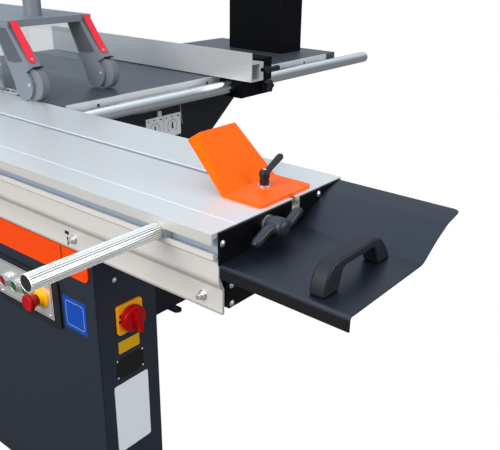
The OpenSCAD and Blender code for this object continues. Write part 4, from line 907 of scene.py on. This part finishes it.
def red_strip(side, arm_x):
    along = (ARM_HEAD - ARM_FOOT).normalized()
    out = Vector((0, -along.z, along.y))
    mid, r = (STRIP_U0 + STRIP_U1) / 2, (STRIP_U1 - STRIP_U0) / 2
    outline = [(STRIP_U0, STRIP_S1), (STRIP_U1, STRIP_S1)]
    for i in range(STRIP_STEPS + 1):
        a = math.pi * i / STRIP_STEPS
        outline.append((mid + r * math.cos(a), STRIP_S0 + r - r * math.sin(a)))
    start = ARM_FOOT + Vector((arm_x, 0, 0))
    low = [tuple(start + Vector((u, 0, 0)) + along * s) for u, s in outline]
    high = [tuple(Vector(p) + out * STRIP_T) for p in low]
    verts, faces = slab_data(low, high)
    piece("red_strip_" + side, verts, faces, "guard_hood", "guard_grey", look="strip_red", round_by=0.4)
    rivet = start + Vector((mid, 0, 0)) + along * (STRIP_S0 + r) + out * STRIP_T
    lathe("strip_rivet_" + side, STRIP_RIVET, rivet, out, "guard_hood", "zinc_steel", 18)


def ribbed_roller(side, arm_x):
    """Roller with fine ribs across its tread."""
    r = ROLLER_R
    profile = [(ROLLER_BORE, 0), (r - 3, 0), (r - 1.5, 0.6), (r - 0.6, 2)]
    for i in range(RIB_COUNT):
        w = RIB_PITCH + i * RIB_PITCH
        profile += [(r, w), (r, w + 2.2), (r - RIB_DEEP, w + 2.4), (r - RIB_DEEP, w + 2.8)]
    profile += [(r - 1.5, 26), (r - 3, ROLLER_W), (ROLLER_BORE, ROLLER_W), (ROLLER_BORE, 0)]
    node = "hood_roller_" + side
    at = (arm_x + ROLLER_IN, AXLE_Y, AXLE_Z)
    lathe("ribbed_roller_" + side, profile, at, (1, 0, 0), node, "roller_grey", 56, smooth=30,
        replaces=[node])


def guard_arm(side, arm_x):
    red_strip(side, arm_x)
    # A darker plate on the arm's recessed side: painted shade
    prism("arm_recess_" + side, RECESS, "x", arm_x - RECESS_T, arm_x, "guard_hood", "guard_grey",
        look="recess_painted_shade")
    prism("arm_bar_" + side, round_rect(*ARM_BAR), "x", arm_x + BAR_X0, arm_x + BAR_X1, "guard_hood",
        "black_plastic", look="near_black_and_painted_shade")
    at = (arm_x, AXLE_Y, AXLE_Z)
    lathe("axle_head_" + side, AXLE_HEAD, at, (-1, 0, 0), "guard_hood", "zinc_steel", 20)
    ribbed_roller(side, arm_x)


for arm_side, arm_place in ARMS:
    guard_arm(arm_side, arm_place)


# Stage: floor and sky that the camera sees as white, a soft key from the left, a fill and the camera

FLOOR_HALF, FLOOR_DROP = 9.0, 0.001
FLOOR_LEVEL, FLOOR_ROUGH = 0.15, 0.9
SKY_COLOR = (0.84, 0.94, 1.03, 1)
# The sky's light from front to rear, from the horizon up and from left to right: reach, shares
FRONT_TO_REAR = ((-0.9, 0.5), (0.4, 0.94))
UPWARD = ((0.1, 0.9), (0.6, 1.78))
LEFT_TO_RIGHT = ((-0.3, 0.8), (1.12, 0.74))
# Lights: name, place, aim, size in metres, watts, colour
KEY_LIGHT = ("key", (-3300, 300, 1500), (100, 500, -150), 2.2, 116, (1.0, 0.94, 0.88))
FILL_LIGHT = ("fill", (1200, -2800, 900), (107, 330, -310), 2.0, 56, (1, 1, 1))
CAMERA_AT = (-687.5, -629.5, 406.5)
CAMERA_RIGHT = Vector((0.633, -0.774, 0.0135))
CAMERA_UP = Vector((0.2912, 0.2542, 0.9223))
CAMERA_FORWARD = Vector((0.7173, 0.5799, -0.3863))
SENSOR, LENS, CLIP_NEAR, CLIP_FAR = 36, 48.95, 0.01, 50


def white_to_camera(tree, white, shader, out_socket):
    """Plain white where the camera looks, and the given shader for everything else."""
    rays = add_node(tree, "ShaderNodeLightPath")
    mix = add_node(tree, "ShaderNodeMixShader")
    white.inputs["Color"].default_value = (1, 1, 1, 1)
    white.inputs["Strength"].default_value = 1.0
    tree.links.new(rays.outputs["Is Camera Ray"], mix.inputs["Fac"])
    tree.links.new(shader, mix.inputs[1])
    tree.links.new(white.outputs[0], mix.inputs[2])
    tree.links.new(mix.outputs["Shader"], out_socket)


def studio_floor():
    h = FLOOR_HALF
    mesh = bpy.data.meshes.new("studio_floor")
    corners = [(x * h, y * h, -FLOOR_DROP) for x, y in ((-1, -1), (1, -1), (1, 1), (-1, 1))]
    mesh.from_pydata(corners, [], [(0, 1, 2, 3)])
    floor = bpy.data.objects.new("studio_floor", mesh)
    bpy.context.scene.collection.objects.link(floor)
    mat = bpy.data.materials.new("studio_floor")
    mat.use_nodes = True
    tree = mat.node_tree
    shader = tree.nodes["Principled BSDF"]
    shader.inputs["Base Color"].default_value = (FLOOR_LEVEL, FLOOR_LEVEL, FLOOR_LEVEL, 1)
    shader.inputs["Roughness"].default_value = FLOOR_ROUGH
    white = add_node(tree, "ShaderNodeEmission")
    white_to_camera(tree, white, shader.outputs["BSDF"], tree.nodes["Material Output"].inputs["Surface"])
    mesh.materials.append(mat)


def share_along(tree, value, reach, shares, **more):
    """A share of light that changes along one direction."""
    made = add_node(tree, "ShaderNodeMapRange", **more)
    for key, number in zip(("From Min", "From Max", "To Min", "To Max"), reach + shares):
        made.inputs[key].default_value = number
    tree.links.new(value, made.inputs["Value"])
    return made.outputs["Result"]


def product(tree, first, second):
    made = add_node(tree, "ShaderNodeMath", operation="MULTIPLY")
    tree.links.new(first, made.inputs[0])
    tree.links.new(second, made.inputs[1])
    return made.outputs["Value"]


def studio_world():
    """Light that is strong from the rear and from above, and weaker from the front and the right."""
    world = bpy.data.worlds.new("studio")
    bpy.context.scene.world = world
    world.use_nodes = True
    tree = world.node_tree
    soft = tree.nodes["Background"]
    soft.inputs["Color"].default_value = SKY_COLOR
    coords = add_node(tree, "ShaderNodeTexCoord")
    split = add_node(tree, "ShaderNodeSeparateXYZ")
    tree.links.new(coords.outputs["Generated"], split.inputs["Vector"])
    level = share_along(tree, split.outputs["Y"], *FRONT_TO_REAR, interpolation_type="SMOOTHSTEP")
    rise = share_along(tree, split.outputs["Z"], *UPWARD)
    across = share_along(tree, split.outputs["X"], *LEFT_TO_RIGHT)
    tree.links.new(product(tree, product(tree, level, rise), across), soft.inputs["Strength"])
    white = add_node(tree, "ShaderNodeBackground")
    white_to_camera(tree, white, soft.outputs["Background"], tree.nodes["World Output"].inputs["Surface"])


def area_light(name, at, to, size, power, color):
    data = bpy.data.lights.new(name, "AREA")
    data.size = size
    data.energy = power
    data.color = color
    lamp = bpy.data.objects.new(name, data)
    bpy.context.scene.collection.objects.link(lamp)
    start, end = place(*at), place(*to)
    turn = (end - start).to_track_quat("-Z", "Y").to_matrix().to_4x4()
    lamp.matrix_world = Matrix.Translation(start) @ turn


def photo_camera():
    data = bpy.data.cameras.new("photo_camera")
    data.sensor_width = SENSOR
    data.lens = LENS
    data.clip_start = CLIP_NEAR
    data.clip_end = CLIP_FAR
    camera = bpy.data.objects.new("photo_camera", data)
    bpy.context.scene.collection.objects.link(camera)
    turn = Matrix((CAMERA_RIGHT, CAMERA_UP, -CAMERA_FORWARD)).transposed()
    camera.matrix_world = Matrix.Translation(place(*CAMERA_AT)) @ turn.to_4x4()
    bpy.context.scene.camera = camera


studio_floor()
studio_world()
area_light(*KEY_LIGHT)
area_light(*FILL_LIGHT)
photo_camera()
bpy.context.scene.view_settings.view_transform = "Standard"
